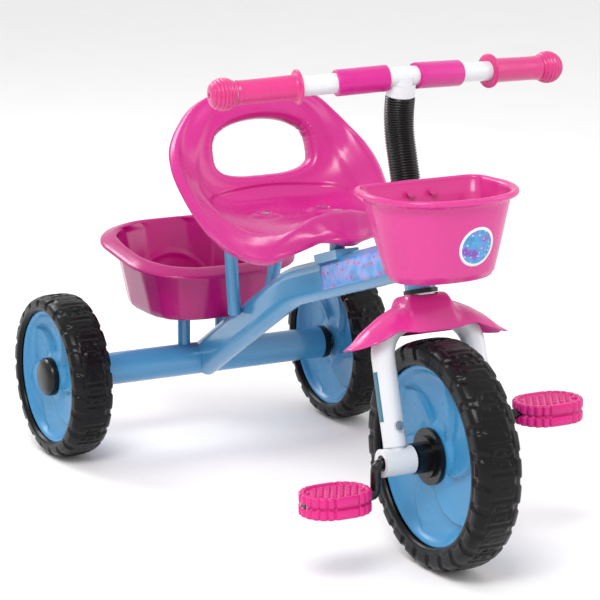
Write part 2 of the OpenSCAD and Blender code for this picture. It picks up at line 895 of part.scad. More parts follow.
// Height of its front and rear edges
function fender_edge(y) = lookup(y, [[0, 134], [50, 134], [75, 129], [90, 125.5], [98, 125]]);
// Half of its length along X
function fender_reach(y) = lookup(y, [[0, 31], [55, 30], [75, 24], [90, 12], [98, 3]]);
function fender_point(u, v) =
    let (y = abs(v) * fender_half,
        square_top = lookup(y, [[0, 5], [24, 5], [36, 2.6], [98, 2.2]]),
        arch = 1 - pow(abs(u), square_top))
    [-3 + u * fender_reach(y), v * fender_half,
        fender_edge(y) + (fender_crest(y) - fender_edge(y)) * arch];

module fender() {
    upper = [for (i = [0:fender_rows]) [for (j = [0:fender_cols])
        fender_point(1 - 2 * i / fender_rows, 2 * j / fender_cols - 1)]];
    lower = [for (row = upper) [for (p = row) p - [0, 0, fender_t]]];
    color(basket_pink) on_steering() difference() {
        thick_sheet(upper, lower);
        cylinder_between(crown_h, crown_h + 40, steerer_r + 0.1);
        cylinder_between(crown_h, crown_h + crown_race_h + 0.1, race_r + 0.1);
    }
}

module fender_screws() {
    color(steel) on_steering() for (side = [-1, 1]) translate([0, side * 19.5, crown_h + 24.1]) {
        cylinder(r = 3, h = 1.6);
    }
}

// ---- Front wheel ----

// Tyre section as [radius, distance from the middle], with round shoulders
module tyre_section(outer, inner, w) {
    shoulder = min(12, (outer - inner) / 2 - 0.5);
    lip = 3;
    half = w / 2;
    square_in = [inner, -half + lip];
    translate(square_in) square([outer - shoulder - inner, w - 2 * lip]);
    translate([inner + lip, -half]) square([outer - shoulder - inner - lip, w]);
    translate([outer - shoulder - eps, -half + shoulder]) square([shoulder + eps, w - 2 * shoulder]);
    for (side = [-1, 1]) {
        translate([outer - shoulder, side * (half - shoulder)]) circle(r = shoulder);
        translate([inner + lip, side * (half - lip)]) circle(r = lip);
    }
}

module tyre(outer, inner, w) {
    color(tyre_black) rotate([90, 0, 0]) rotate_extrude($fn = 96) tyre_section(outer, inner, w);
}

module front_tyre() {
    on_steering() tyre(front_r, front_rim_r, front_tyre_w);
}

// Half of a rim: a band inside the tyre, a web and a hub boss
module rim_half(side, rim_r, disc, boss_r, boss_out, bore_r, seam) {
    color(frame_blue) lathe_y(side) {
        translate([rim_r - 4, seam]) square([4 - weld_gap, disc - seam]);
        translate([boss_r - 1, disc - 4]) square([rim_r - boss_r - 1, 4]);
        translate([bore_r, seam]) square([boss_r - bore_r, boss_out - seam]);
    }
}

module front_rim_right() {
    on_steering() rim_half(-1, front_rim_r, front_disc, 14, front_disc, rod_r + weld_gap, 0.1);
}

module front_rim_left() {
    on_steering() rim_half(1, front_rim_r, front_disc, 14, front_disc, rod_r + weld_gap, 0.1);
}

module front_hub(side) {
    color(plastic_black) on_steering() lathe_y(side) difference() {
        union() {
            translate([0, front_disc + 0.05]) square([front_hub_flange_r, 5]);
            translate([0, front_disc + 0.05]) square([23, 9]);
            translate([0, front_disc + 0.05]) square([hub_neck_r, housing_in - 1.5 - front_disc]);
        }
        translate([-1, 0]) square([rod_r + 1 + weld_gap, 60]);
    }
}

module front_hub_right() {
    front_hub(-1);
}

module front_hub_left() {
    front_hub(1);
}

// Direction of the right crank arm in the steering frame
crank_dir = [sin(crank_angle - head_rake), 0, -cos(crank_angle - head_rake)];

module crank() {
    right = [0, -1, 0];
    down = crank_dir;
    pin = crank_r * down;
    shoulder = spindle_shoulder * right;
    tip = (pedal_out - 2) * right;
    elbow = arm_y * right;
    left_spindle = [[-pin - tip, right], [-pin - shoulder, right]];
    right_spindle = [[pin + shoulder, right], [pin + tip, right]];
    bar = concat([left_spindle[1]], bend_stations(-pin - elbow, right, down, crank_bend_r),
        bend_stations(-elbow, down, right, crank_bend_r),
        bend_stations(elbow, right, down, crank_bend_r),
        bend_stations(pin + elbow, down, right, crank_bend_r), [right_spindle[0]]);
    across = cross(right, down);
    color(plastic_black) on_steering() swept(concat(rod_rings(left_spindle, across, spindle_r),
        rod_rings(bar, across, rod_r), rod_rings(right_spindle, across, spindle_r)));
}

// Puts children on one crank pin, square to the ground
module on_crank_pin(side) {
    on_steering() translate(-side * crank_r * crank_dir) rotate([0, head_rake, 0]) children();
}

module pedal(side) {
    r = pedal_depth / 2;
    mid = (pedal_in + pedal_out) / 2;
    half = (pedal_out - pedal_in) / 2 - r;
    color(pedal_pink) on_crank_pin(side) difference() {
        translate([0, side * mid, -pedal_t / 2]) linear_extrude(pedal_t) {
            square([pedal_depth, 2 * half], center = true);
            for (end = [-1, 1]) translate([0, end * half]) circle(r = r);
        }
        rotate([side > 0 ? -90 : 90, 0, 0]) cylinder(r = spindle_r + run_gap, h = 200);
        translate([0, side * (pedal_out - pedal_recess), 0]) rotate([side > 0 ? -90 : 90, 0, 0])
            cylinder(r = pedal_nut_r + 1.5, h = 20);
    }
}

module pedal_right() {
    pedal(-1);
}

module pedal_left() {
    pedal(1);
}

module pedal_nuts() {
    color(steel) for (side = [-1, 1]) on_crank_pin(side)
        translate([0, side * (pedal_out - pedal_recess + 0.5), 0]) lathe_y(side)
        translate([spindle_r + weld_gap, 0]) square([pedal_nut_r - spindle_r, 4]);
}

// ---- Rear wheels ----

module at_rear_wheel(side) {
    translate([rear_x, side * rear_y, rear_r]) children();
}

module rear_tyre(side) {
    at_rear_wheel(side) tyre(rear_r, rear_rim_r, rear_tyre_w);
}

module rear_tyre_right() {
    rear_tyre(-1);
}

module rear_tyre_left() {
    rear_tyre(1);
}

module rear_rim(side, face) {
    at_rear_wheel(side)
        rim_half(side * face, rear_rim_r, rear_disc, 14, rear_disc, rear_axle_r + run_gap, 0.1);
}

module rear_rim_outer_right() {
    rear_rim(-1, 1);
}

module rear_rim_outer_left() {
    rear_rim(1, 1);
}

module rear_rim_inner_right() {
    rear_rim(-1, -1);
}

module rear_rim_inner_left() {
    rear_rim(1, -1);
}

// Domed cap over the axle end
module hub_cap(side) {
    dome_r = (hub_cap_r * hub_cap_r + hub_cap_h * hub_cap_h) / (2 * hub_cap_h);
    color(plastic_black) at_rear_wheel(side) lathe_y(side) difference() {
        intersection() {
            translate([0, rear_disc + 0.05 + hub_cap_h - dome_r]) circle(r = dome_r);
            translate([0, rear_disc + 0.05]) square([hub_cap_r, hub_cap_h]);
        }
        square([hub_cap_void_r, rear_disc + hub_cap_void_h]);
    }
}

module hub_cap_right() {
    hub_cap(-1);
}

module hub_cap_left() {
    hub_cap(1);
}

main_beam();
rear_axle_tube();
head_tube();
head_bush_upper();
head_bush_lower();
seat_strut_right();
seat_strut_left();
seat_cross_plate();
seat_front_post();
basket_post_right();
basket_post_left();
seat();
seat_bolts();
rear_basket();
rear_basket_screws();
rear_axle_rod();
axle_plug_right();
axle_plug_left();
axle_nuts();
fork_steerer();
fork_leg_right();
fork_leg_left();
axle_housing_right();
axle_housing_left();
housing_bolts();
crank_bush_right();
crank_bush_left();
steerer_nut();
stem_tube();
stem_sleeve();
handlebar_tube();
handlebar_neck();
foam_sleeve_right();
foam_sleeve_left();
grip_right();
grip_left();
front_basket();
basket_bracket();
front_basket_screws();
fender();
fender_screws();
front_tyre();
front_rim_right();
front_rim_left();
front_hub_right();
front_hub_left();
crank();
pedal_nuts();
pedal_right();
pedal_left();
rear_tyre_right();
rear_tyre_left();
rear_rim_outer_right();
rear_rim_outer_left();
rear_rim_inner_right();
rear_rim_inner_left();
hub_cap_right();
hub_cap_left();
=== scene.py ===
import json
import math
import bmesh
import bpy
import numpy as np
from mathutils import Matrix, Vector
from mathutils.bvhtree import BVHTree


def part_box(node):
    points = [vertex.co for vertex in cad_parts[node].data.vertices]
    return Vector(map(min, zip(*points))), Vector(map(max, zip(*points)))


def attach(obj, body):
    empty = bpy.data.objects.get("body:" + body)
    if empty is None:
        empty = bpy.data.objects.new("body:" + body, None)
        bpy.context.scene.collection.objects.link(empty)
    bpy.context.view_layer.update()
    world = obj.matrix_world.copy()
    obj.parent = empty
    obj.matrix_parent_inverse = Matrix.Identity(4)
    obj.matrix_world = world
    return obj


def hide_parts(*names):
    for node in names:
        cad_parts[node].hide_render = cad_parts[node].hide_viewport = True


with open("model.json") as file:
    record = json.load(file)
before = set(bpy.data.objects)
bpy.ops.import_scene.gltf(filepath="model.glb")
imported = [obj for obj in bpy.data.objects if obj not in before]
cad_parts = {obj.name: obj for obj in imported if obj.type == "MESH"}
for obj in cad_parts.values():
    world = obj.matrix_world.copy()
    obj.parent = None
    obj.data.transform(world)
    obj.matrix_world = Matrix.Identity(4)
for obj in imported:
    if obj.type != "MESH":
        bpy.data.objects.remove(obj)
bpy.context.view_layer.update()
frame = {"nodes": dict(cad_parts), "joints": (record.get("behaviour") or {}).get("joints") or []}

MM = 0.001
JOINTS = {j["name"]: j for j in frame["joints"]}
front_axle = Vector(JOINTS["steering_turn"]["pos_m"])
rear_axle_x = JOINTS["rear_wheel_right_spin"]["pos_m"][0]
rear_y = JOINTS["rear_wheel_left_spin"]["pos_m"][1]
rear_z = JOINTS["rear_wheel_left_spin"]["pos_m"][2]
steer_up = Vector(JOINTS["steering_turn"]["axis"])
rake = math.atan2(-steer_up.x, steer_up.z)
STEER = Matrix.Translation(front_axle) @ Matrix.Rotation(-rake, 4, "Y")
REAR = Matrix.Translation((rear_axle_x, 0, 0))
LATHE_SIDES = 72


# ---------------------------------------------------------------- materials

DRIFT_SCALE, GLOSS_SCALE = 9.0, 38.0
GRAIN_DEPTH, RIPPLE_DEPTH, SCRATCH_DEPTH = 0.0006, 0.002, 0.0003      # metres
SCRATCH_STRETCH = (30.0, 900.0, 900.0)
COAT_ROUGHNESS = 0.08
DOT_EDGE = (0.20, 0.24)


def nodes_of(mat):
    mat.use_nodes = True
    tree = mat.node_tree
    return tree.nodes, tree.links, tree.nodes["Principled BSDF"]


def noise(nodes, links, coord, scale, detail=3.0):
    n = nodes.new("ShaderNodeTexNoise")
    n.inputs["Scale"].default_value = scale
    n.inputs["Detail"].default_value = detail
    links.new(coord, n.inputs["Vector"])
    return n.outputs["Fac"]


def ramp(nodes, links, fac, stops):
    r = nodes.new("ShaderNodeValToRGB")
    links.new(fac, r.inputs["Fac"])
    while len(r.color_ramp.elements) < len(stops):
        r.color_ramp.elements.new(0.5)
    for e, (at, c) in zip(r.color_ramp.elements, stops):
        e.position = at
        e.color = (*c, 1)
    return r.outputs["Color"]


def bump(nodes, links, height, strength, depth, below=None):
    """The normal of a bump node, laid over another normal where one is given."""
    b = nodes.new("ShaderNodeBump")
    b.inputs["Strength"].default_value = strength
    b.inputs["Distance"].default_value = depth
    links.new(height, b.inputs["Height"])
    if below is not None:
        links.new(below, b.inputs["Normal"])
    return b.outputs["Normal"]


def shade(c, k):
    """The colour c, k times as bright."""
    return tuple(min(1.0, v * k) for v in c)


def surface(name, colour, rough=0.35, spread=0.06, tint=0.10, grain=900.0, grain_h=0.04,
            wave=14.0, wave_h=0.15, coat=0.0, metal=0.0, sheen=0.0, scratch=0.0, specular=0.5):
    """A procedural finish: colour drift, uneven gloss, fine moulding grain and broad ripples."""
    mat = bpy.data.materials.new(name)
    nodes, links, bsdf = nodes_of(mat)
    coord = nodes.new("ShaderNodeTexCoord").outputs["Object"]
    broad = noise(nodes, links, coord, DRIFT_SCALE, 4.0)
    links.new(ramp(nodes, links, broad, [(0.30, shade(colour, 1 - tint)), (0.52, colour),
                                         (0.75, shade(colour, 1 + tint))]),
              bsdf.inputs["Base Color"])
    gloss = noise(nodes, links, coord, GLOSS_SCALE, 5.0)
    links.new(ramp(nodes, links, gloss, [(0.25, (max(rough - spread, 0.02),) * 3),
                                         (0.75, (min(rough + spread, 1.0),) * 3)]),
              bsdf.inputs["Roughness"])
    normal = bump(nodes, links, noise(nodes, links, coord, grain, 2.0), grain_h, GRAIN_DEPTH)
    normal = bump(nodes, links, noise(nodes, links, coord, wave, 1.5), wave_h, RIPPLE_DEPTH, normal)
    if scratch:
        stretch = nodes.new("ShaderNodeMapping")
        stretch.inputs["Scale"].default_value = SCRATCH_STRETCH
        links.new(coord, stretch.inputs["Vector"])
        hairs = noise(nodes, links, stretch.outputs["Vector"], 1.0, 2.0)
        normal = bump(nodes, links, hairs, scratch, SCRATCH_DEPTH, normal)
    links.new(normal, bsdf.inputs["Normal"])
    bsdf.inputs["Metallic"].default_value = metal
    bsdf.inputs["Specular IOR Level"].default_value = specular
    bsdf.inputs["Coat Weight"].default_value = coat
    bsdf.inputs["Coat Roughness"].default_value = COAT_ROUGHNESS
    bsdf.inputs["Sheen Weight"].default_value = sheen
    return mat


seat_pink = surface("seat_plastic", (0.53, 0.013, 0.215), rough=0.27, spread=0.07, tint=0.08)
deep_pink = surface("rear_basket_plastic", (0.400, 0.003, 0.150), rough=0.22, spread=0.07,
                    tint=0.10)
orchid = surface("front_basket_plastic", (0.610, 0.032, 0.245), rough=0.24, spread=0.07, tint=0.07)
grip_pink = surface("grip_rubber", (0.600, 0.026, 0.190), rough=0.30, spread=0.08, sheen=0.1)
foam_pink = surface("sleeve_foam", (0.560, 0.002, 0.230), rough=0.30, spread=0.08, grain=1600.0,
                    grain_h=0.35, wave_h=0.10, sheen=0.15)
pedal_pink = surface("pedal_plastic", (0.620, 0.006, 0.190), rough=0.30, spread=0.08, tint=0.12)
blue_paint = surface("frame_enamel", (0.062, 0.270, 0.500), rough=0.22, spread=0.05, tint=0.06,
                     grain=500.0, wave=26.0, wave_h=0.10, coat=0.5)
wheel_blue = surface("wheel_plastic", (0.040, 0.245, 0.480), rough=0.30, spread=0.07, tint=0.08)
white_paint = surface("fork_enamel", (0.66, 0.68, 0.71), rough=0.20, spread=0.05, tint=0.03,
                      grain=500.0, wave=26.0, wave_h=0.08, coat=0.6)
tyre_black = surface("tyre_moulding", (0.0035, 0.0035, 0.0042), rough=0.27, spread=0.08, tint=0.30,
                     grain=1200.0, grain_h=0.10, wave=20.0, wave_h=0.20, specular=0.20)
black_plastic = surface("black_plastic", (0.0035, 0.0035, 0.0045), rough=0.28, spread=0.08,
                        tint=0.3, grain_h=0.08, specular=0.35)
hose_black = surface("hose_vinyl", (0.003, 0.003, 0.0035), rough=0.24, spread=0.08, tint=0.3,
                     specular=0.35)
black_enamel = surface("crank_enamel", (0.004, 0.004, 0.005), rough=0.25, spread=0.08, tint=0.3,
                       coat=0.2, specular=0.35)
zinc = surface("zinc_plate", (0.62, 0.63, 0.65), rough=0.30, spread=0.12, tint=0.08, metal=1.0,
               grain_h=0.10, scratch=0.25)
sticker_white = surface("sticker_white", (0.74, 0.74, 0.78), rough=0.22, spread=0.04, tint=0.02)
sticker_teal = surface("sticker_teal", (0.020, 0.150, 0.220), rough=0.24, spread=0.04, tint=0.10)


def sticker_field(name, low, high, dot, dot_scale):
    """A printed field that runs between two colours and is sprinkled with plain round dots."""
    mat = surface(name, low, rough=0.22, spread=0.04, tint=0.02)
    nodes, links, bsdf = nodes_of(mat)
    coord = nodes.new("ShaderNodeTexCoord").outputs["Object"]
    clouds = noise(nodes, links, coord, 60.0, 2.0)
    field = ramp(nodes, links, clouds, [(0.38, low), (0.50, shade(low, 1.3)), (0.62, high)])
    cells = nodes.new("ShaderNodeTexVoronoi")
    cells.inputs["Scale"].default_value = dot_scale
    links.new(coord, cells.inputs["Vector"])
    dots = ramp(nodes, links, cells.outputs["Distance"],
                [(DOT_EDGE[0], (1, 1, 1)), (DOT_EDGE[1], (0, 0, 0))])
    mix = nodes.new("ShaderNodeMix")
    mix.data_type = "RGBA"
    links.new(dots, mix.inputs["Factor"])
    links.new(field, mix.inputs["A"])
    mix.inputs["B"].default_value = (*dot, 1)
    links.new(mix.outputs["Result"], bsdf.inputs["Base Color"])
    return mat


disc_print = sticker_field("sticker_disc", (0.040, 0.250, 0.480), (0.20, 0.060, 0.400),
                           (0.68, 0.40, 0.62), 190.0)
band_print = sticker_field("sticker_band", (0.090, 0.250, 0.560), (0.30, 0.30, 0.62),
                           (0.60, 0.030, 0.25), 95.0)


# ---------------------------------------------------------------- mesh helpers

def grid_faces(rows, cols, wrap=False):
    """Quads over a rows by cols grid of vertices; wrap joins the last column to the first."""
    faces = []
    for i in range(rows - 1):
        for j in range(cols if wrap else cols - 1):
            k = (j + 1) % cols
            faces.append((i * cols + j, i * cols + k, (i + 1) * cols + k, (i + 1) * cols + j))
    return faces


def piece(name, verts_mm, faces, mat, body, matrix=None, replaces=(), solid=0.0, offset=-1.0,
          even=True, mats=None, face_mats=None):
    """A new object from points in mm. Its place is baked into the mesh, and it rides on a body.

    solid is the thickness in mm of a wall laid on by Solidify, with its offset and evenness.
    """
    co = np.asarray(verts_mm, float) * MM
    mesh = bpy.data.meshes.new(name)
    mesh.from_pydata([tuple(c) for c in co], [], faces)
    if matrix is not None:
        mesh.transform(matrix)
    mesh.validate()
    obj = bpy.data.objects.new(name, mesh)
    bpy.context.scene.collection.objects.link(obj)
    for m in (mats or [mat]):
        mesh.materials.append(m)
    if face_mats is not None:
        mesh.polygons.foreach_set("material_index", face_mats)
    mesh.polygons.foreach_set("use_smooth", [True] * len(mesh.polygons))
    bm = bmesh.new()
    bm.from_mesh(mesh)
    bmesh.ops.recalc_face_normals(bm, faces=bm.faces)
    bm.to_mesh(mesh)
    bm.free()
    if solid:
        m = obj.modifiers.new("wall", "SOLIDIFY")
        m.thickness = solid * MM
        m.offset = offset
        m.use_even_offset = even
    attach(obj, body)
    if replaces:
        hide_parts(*replaces)
    return obj


def lathe(profile, n=LATHE_SIDES):
    """Points and faces of a profile [(radius, y)] turned about the Y axis."""
    a = np.linspace(0, 2 * math.pi, n, endpoint=False)
    rows = [np.stack([r * np.sin(a), np.full(n, y), r * np.cos(a)], 1) for r, y in profile]
    return np.concatenate(rows), grid_faces(len(profile), n, wrap=True)


def smoothstep(a, b, x):
    """0 at a, 1 at b, smooth between and level beyond; it falls where a is over b."""
    t = np.clip((x - a) / (b - a), 0, 1)
    return t * t * (3 - 2 * t)


def catmull(points, t):
    """Points on the smooth curve through the list, at stations t counted in list steps."""
    p = np.asarray(points, float)
    last = len(p) - 1
    i = np.minimum(np.floor(t).astype(int), last - 1)
    f = (t - i)[:, None]
    a, b, c, d = p[np.maximum(i - 1, 0)], p[i], p[i + 1], p[np.minimum(i + 2, last)]
    return 0.5 * (2 * b + (c - a) * f + (2 * a - 5 * b + 4 * c - d) * f ** 2
                  + (3 * b - a - 3 * c + d) * f ** 3)


def sheet_bmesh(points, rows, cols, near):
    """A grid of faces, turned so that the face nearest to a point looks up."""
    bm = bmesh.new()
    verts = [bm.verts.new(p) for p in points]
    for q in grid_faces(rows, cols):
        bm.faces.new([verts[i] for i in q])
    bmesh.ops.recalc_face_normals(bm, faces=bm.faces)
    at = Vector(near)
    if min(bm.faces, key=lambda f: (f.calc_center_median() - at).length).normal.z < 0:
        bmesh.ops.reverse_faces(bm, faces=bm.faces)
    return bm


def take_lists(bm):
    """The points and faces of a bmesh, which is freed."""
    bm.verts.index_update()
    co = [tuple(v.co) for v in bm.verts]
    faces = [tuple(v.index for v in f.verts) for f in bm.faces]
    bm.free()
    return co, faces


# ---------------------------------------------------------------- seat

# stations from the front edge to the top of the back, in mm from the rear axle and the floor:
# the middle line is [x, z], and the rim is [x, half width, z]
SEAT_MID = [[386, 328], [377, 338], [357, 350], [328, 340], [290, 332], [250, 330], [214, 331],
            [188, 336], [173, 350], [167, 372], [162, 398], [157, 424], [151, 446], [144, 460]]
SEAT_RIM = [[371, 38, 322], [366, 58, 317], [358, 76, 311], [345, 92, 306], [315, 105, 308],
            [280, 113, 320], [243, 120, 345], [206, 123, 374], [183, 119, 394], [167, 111, 409],
            [156, 98, 426], [149, 81, 443], [146, 55, 456], [143, 27, 463]]
SEAT_BOLTS = [(242, -38), (242, 38)]


def seat_points(t, s):
    """The plain sheet at station t and s across it, from -1 to 1."""
    m, r = catmull(SEAT_MID, t), catmull(SEAT_RIM, t)
    a = np.abs(s)
    lift = a * a * (2 * a - 1) * 0.5 + a ** 4 * 0.5
    return np.stack([m[:, 0] + (r[:, 0] - m[:, 0]) * a * a, s * r[:, 1],
                     m[:, 1] + (r[:, 2] - m[:, 1]) * lift], 1)


def seat_relief(t, s, pts):
    """Height of the moulded detail over the plain sheet, in mm."""
    a = np.abs(s)
    # the pan is set down inside a soft step that curves round it
    oval = (np.abs(t - 4.9) / 3.15) ** 3 + (a / 0.80) ** 3
    h = 3.0 * smoothstep(0.88, 1.06, oval) * smoothstep(1.6, 3.6, t) * smoothstep(1.0, 0.90, a)
    # a soft crease runs up inside the rim
    h = h + (1.6 * np.exp(-((a - 0.85) / 0.05) ** 2) * smoothstep(4.5, 6.0, t)
             * smoothstep(12.8, 11.0, t))
    # pommel between two thigh scoops
    h = h + 4.0 * np.exp(-((t - 1.8) / 0.95) ** 2) * np.exp(-(a / 0.26) ** 4)
    h = h - 4.0 * np.exp(-((t - 2.2) / 1.4) ** 2) * np.exp(-((a - 0.62) / 0.17) ** 2)
    for x, y in SEAT_BOLTS:
        d = np.hypot(pts[:, 0] - x, pts[:, 1] - y)
        boss = 3.4 * smoothstep(24, 11, d)
        h = np.where(t < 7, h * smoothstep(8.5, 16, d) + boss * smoothstep(7.4, 9.2, d), h)
    return h


SEAT_ROWS, SEAT_COLS = 241, 145
SEAT_WALL = 2.6
PAN_MIDDLE = (250, 0, 330)
HOLE_Z, HOLE_HALF = 397, 72
HOLE_ABOVE, HOLE_BELOW = (42, 2.1), (41, 3.2)      # reach and power of each half of the oval
HOLE_LOWEST = 355                                  # faces under this height are the pan's
HOLE_ROLL = [(1.4, 0.3), (3.4, 1.2), (5.6, 3.0), (7.4, 5.8), (8.6, 9.5), (9.3, 14.0), (9.6, 19.0)]
RIM_ROLL = [(0.8, -0.3), (2.2, -0.2), (3.6, 0.5), (4.6, 1.9), (5.0, 3.8), (5.2, 7.5), (5.4, 11.5)]


def hole_radius(a):
    """The oval's value at distance 1 in the direction a, and its power there."""
    c, s = abs(math.cos(a)), abs(math.sin(a))
    reach, power = HOLE_ABOVE if math.sin(a) >= 0 else HOLE_BELOW
    return (c / HOLE_HALF) ** power + (s / reach) ** power, power


def hole_reach(y, z):
    """Distance from the middle of the handle hole over the hole's radius in that direction."""
    a = math.atan2(z - HOLE_Z, y)
    v, power = hole_radius(a)
    return math.hypot(y, z - HOLE_Z) * v ** (1 / power), a


def boundary_loops(bm):
    """Each open edge as a list of its vertices in order."""
    edges = dict.fromkeys(e for e in bm.edges if e.is_boundary)
    loops = []
    while edges:
        e, _ = edges.popitem()
        start, v = e.verts
        loop = [start, v]
        while v != start:
            nxt = next((k for k in v.link_edges if k in edges), None)
            if nxt is None:
                break
            del edges[nxt]
            v = nxt.other_vert(v)
            if v != start:
                loop.append(v)
        loops.append(loop)
    return loops


def roll_edge(bm, loop, profile):
    """Adds rings outward from an open edge; profile lists [outward, down] from the edge."""
    n = len(loop)
    outs, downs = [], []
    for i, v in enumerate(loop):
        tangent = (loop[(i + 1) % n].co - loop[i - 1].co).normalized()
        normal = Vector((0, 0, 0))
        inner = Vector((0, 0, 0))
        for f in v.link_faces:
            normal += f.normal
            inner += f.calc_center_median()
        inner = inner / max(len(v.link_faces), 1) - v.co
        out = tangent.cross(normal.normalized())
        if out.dot(inner) > 0:
            out = -out
        outs.append(out.normalized())
        downs.append(-normal.normalized())
    for _ in range(6):
        outs = [(outs[i - 1] + outs[i] * 2 + outs[(i + 1) % n]).normalized() for i in range(n)]
        downs = [(downs[i - 1] + downs[i] * 2 + downs[(i + 1) % n]).normalized() for i in range(n)]
    base = [v.co.copy() for v in loop]
    ring = list(loop)
    for o, d in profile:
        new = [bm.verts.new(base[i] + outs[i] * o + downs[i] * d) for i in range(n)]
        for i in range(n):
            k = (i + 1) % n
            bm.faces.new((ring[i], ring[k], new[k], new[i]))
        ring = new


def build_seat():
    rows, cols = SEAT_ROWS, SEAT_COLS
    t = np.linspace(0, len(SEAT_MID) - 1, rows)
    s = np.linspace(-1, 1, cols)
    tt, ss = np.meshgrid(t, s, indexing="ij")
    pts = seat_points(tt.ravel(), ss.ravel())
    sheet = pts.reshape(rows, cols, 3)
    normal = np.cross(np.gradient(sheet, axis=1), np.gradient(sheet, axis=0)).reshape(-1, 3)
    normal /= np.linalg.norm(normal, axis=1)[:, None]
    if normal[np.argmin(np.abs(tt.ravel() - 5) + np.abs(ss.ravel())), 2] < 0:
        normal = -normal
    pts = pts + normal * seat_relief(tt.ravel(), ss.ravel(), pts)[:, None]
    bm = sheet_bmesh(pts, rows, cols, PAN_MIDDLE)
    centres = [(f, f.calc_center_median()) for f in bm.faces]
    inside = [f for f, c in centres if c.z > HOLE_LOWEST and hole_reach(c.y, c.z)[0] < 1]
    bmesh.ops.delete(bm, geom=inside, context="FACES")
    bmesh.ops.delete(bm, geom=[v for v in bm.verts if not v.link_faces], context="VERTS")
    hole, rim = sorted(boundary_loops(bm), key=len)[-2:]
    bm.normal_update()
    # the hole's stepped edge moves on to the oval, within the sheet, and is then smoothed
    moves = []
    for v in hole:
        reach, a = hole_reach(v.co.y, v.co.z)
        val, power = hole_radius(a)
        r = val ** (-1 / power)
        y, z = r * math.cos(a), HOLE_Z + r * math.sin(a)
        dy, dz = y - v.co.y, z - v.co.z
        nrm = v.normal
        moves.append(Vector((v.co.x - (nrm.y * dy + nrm.z * dz) / nrm.x, y, z)))
    for v, p in zip(hole, moves):
        v.co = p
    for _ in range(4):
        xs = [v.co.x for v in hole]
        for i, v in enumerate(hole):
            v.co.x = (xs[i - 1] + 2 * xs[i] + xs[(i + 1) % len(hole)]) / 4
    bm.normal_update()
    roll_edge(bm, hole, HOLE_ROLL)
    roll_edge(bm, rim, RIM_ROLL)
    co, faces = take_lists(bm)
    piece("seat_shell", co, faces, seat_pink, "frame", REAR, ("seat",),
          solid=SEAT_WALL, even=False)


build_seat()


# ---------------------------------------------------------------- baskets

def corner_loop(centres, radii, n):
    """Convex loop round circles, found direction by direction."""
    c, r = np.asarray(centres, float), np.asarray(radii, float)
    out = []
    for k in range(n):
        a = 2 * math.pi * (k + 0.5) / n
        d = np.array([math.cos(a), math.sin(a)])
        i = int(np.argmax(c @ d + r))
        out.append(c[i] + r[i] * d)
    return np.array(out)


def rounded(length, width, corner, n):
    x, y = length / 2 - corner, width / 2 - corner
    return corner_loop([(x, y), (-x, y), (-x, -y), (x, -y)], [corner] * 4, n)


def resample(loop, n):
    """The same closed loop with evenly spaced points, starting on +X."""
    closed = np.vstack([loop, loop[:1]])
    seg = np.linalg.norm(np.diff(closed, axis=0), axis=1)
    at = np.concatenate([[0], np.cumsum(seg)])
    want = np.linspace(0, at[-1], n, endpoint=False)
    return np.stack([np.interp(want, at, closed[:, 0]), np.interp(want, at, closed[:, 1])], 1)


def panelled(length, width, corner, n):
    """Rounded rectangle whose corners are three flat panels each, with softened edges."""
    pts = []
    for k, (sx, sy) in enumerate(((1, 1), (-1, 1), (-1, -1), (1, -1))):
        for j in range(4):
            a = math.radians(90 * k + 30 * j)
            pts.append((sx * (length / 2 - corner) + corner * math.cos(a),
                        sy * (width / 2 - corner) + corner * math.sin(a)))
    pts = np.array(pts)
    middle = (pts[0] + pts[-1]) / 2
    return resample(np.vstack([middle, pts]), n)


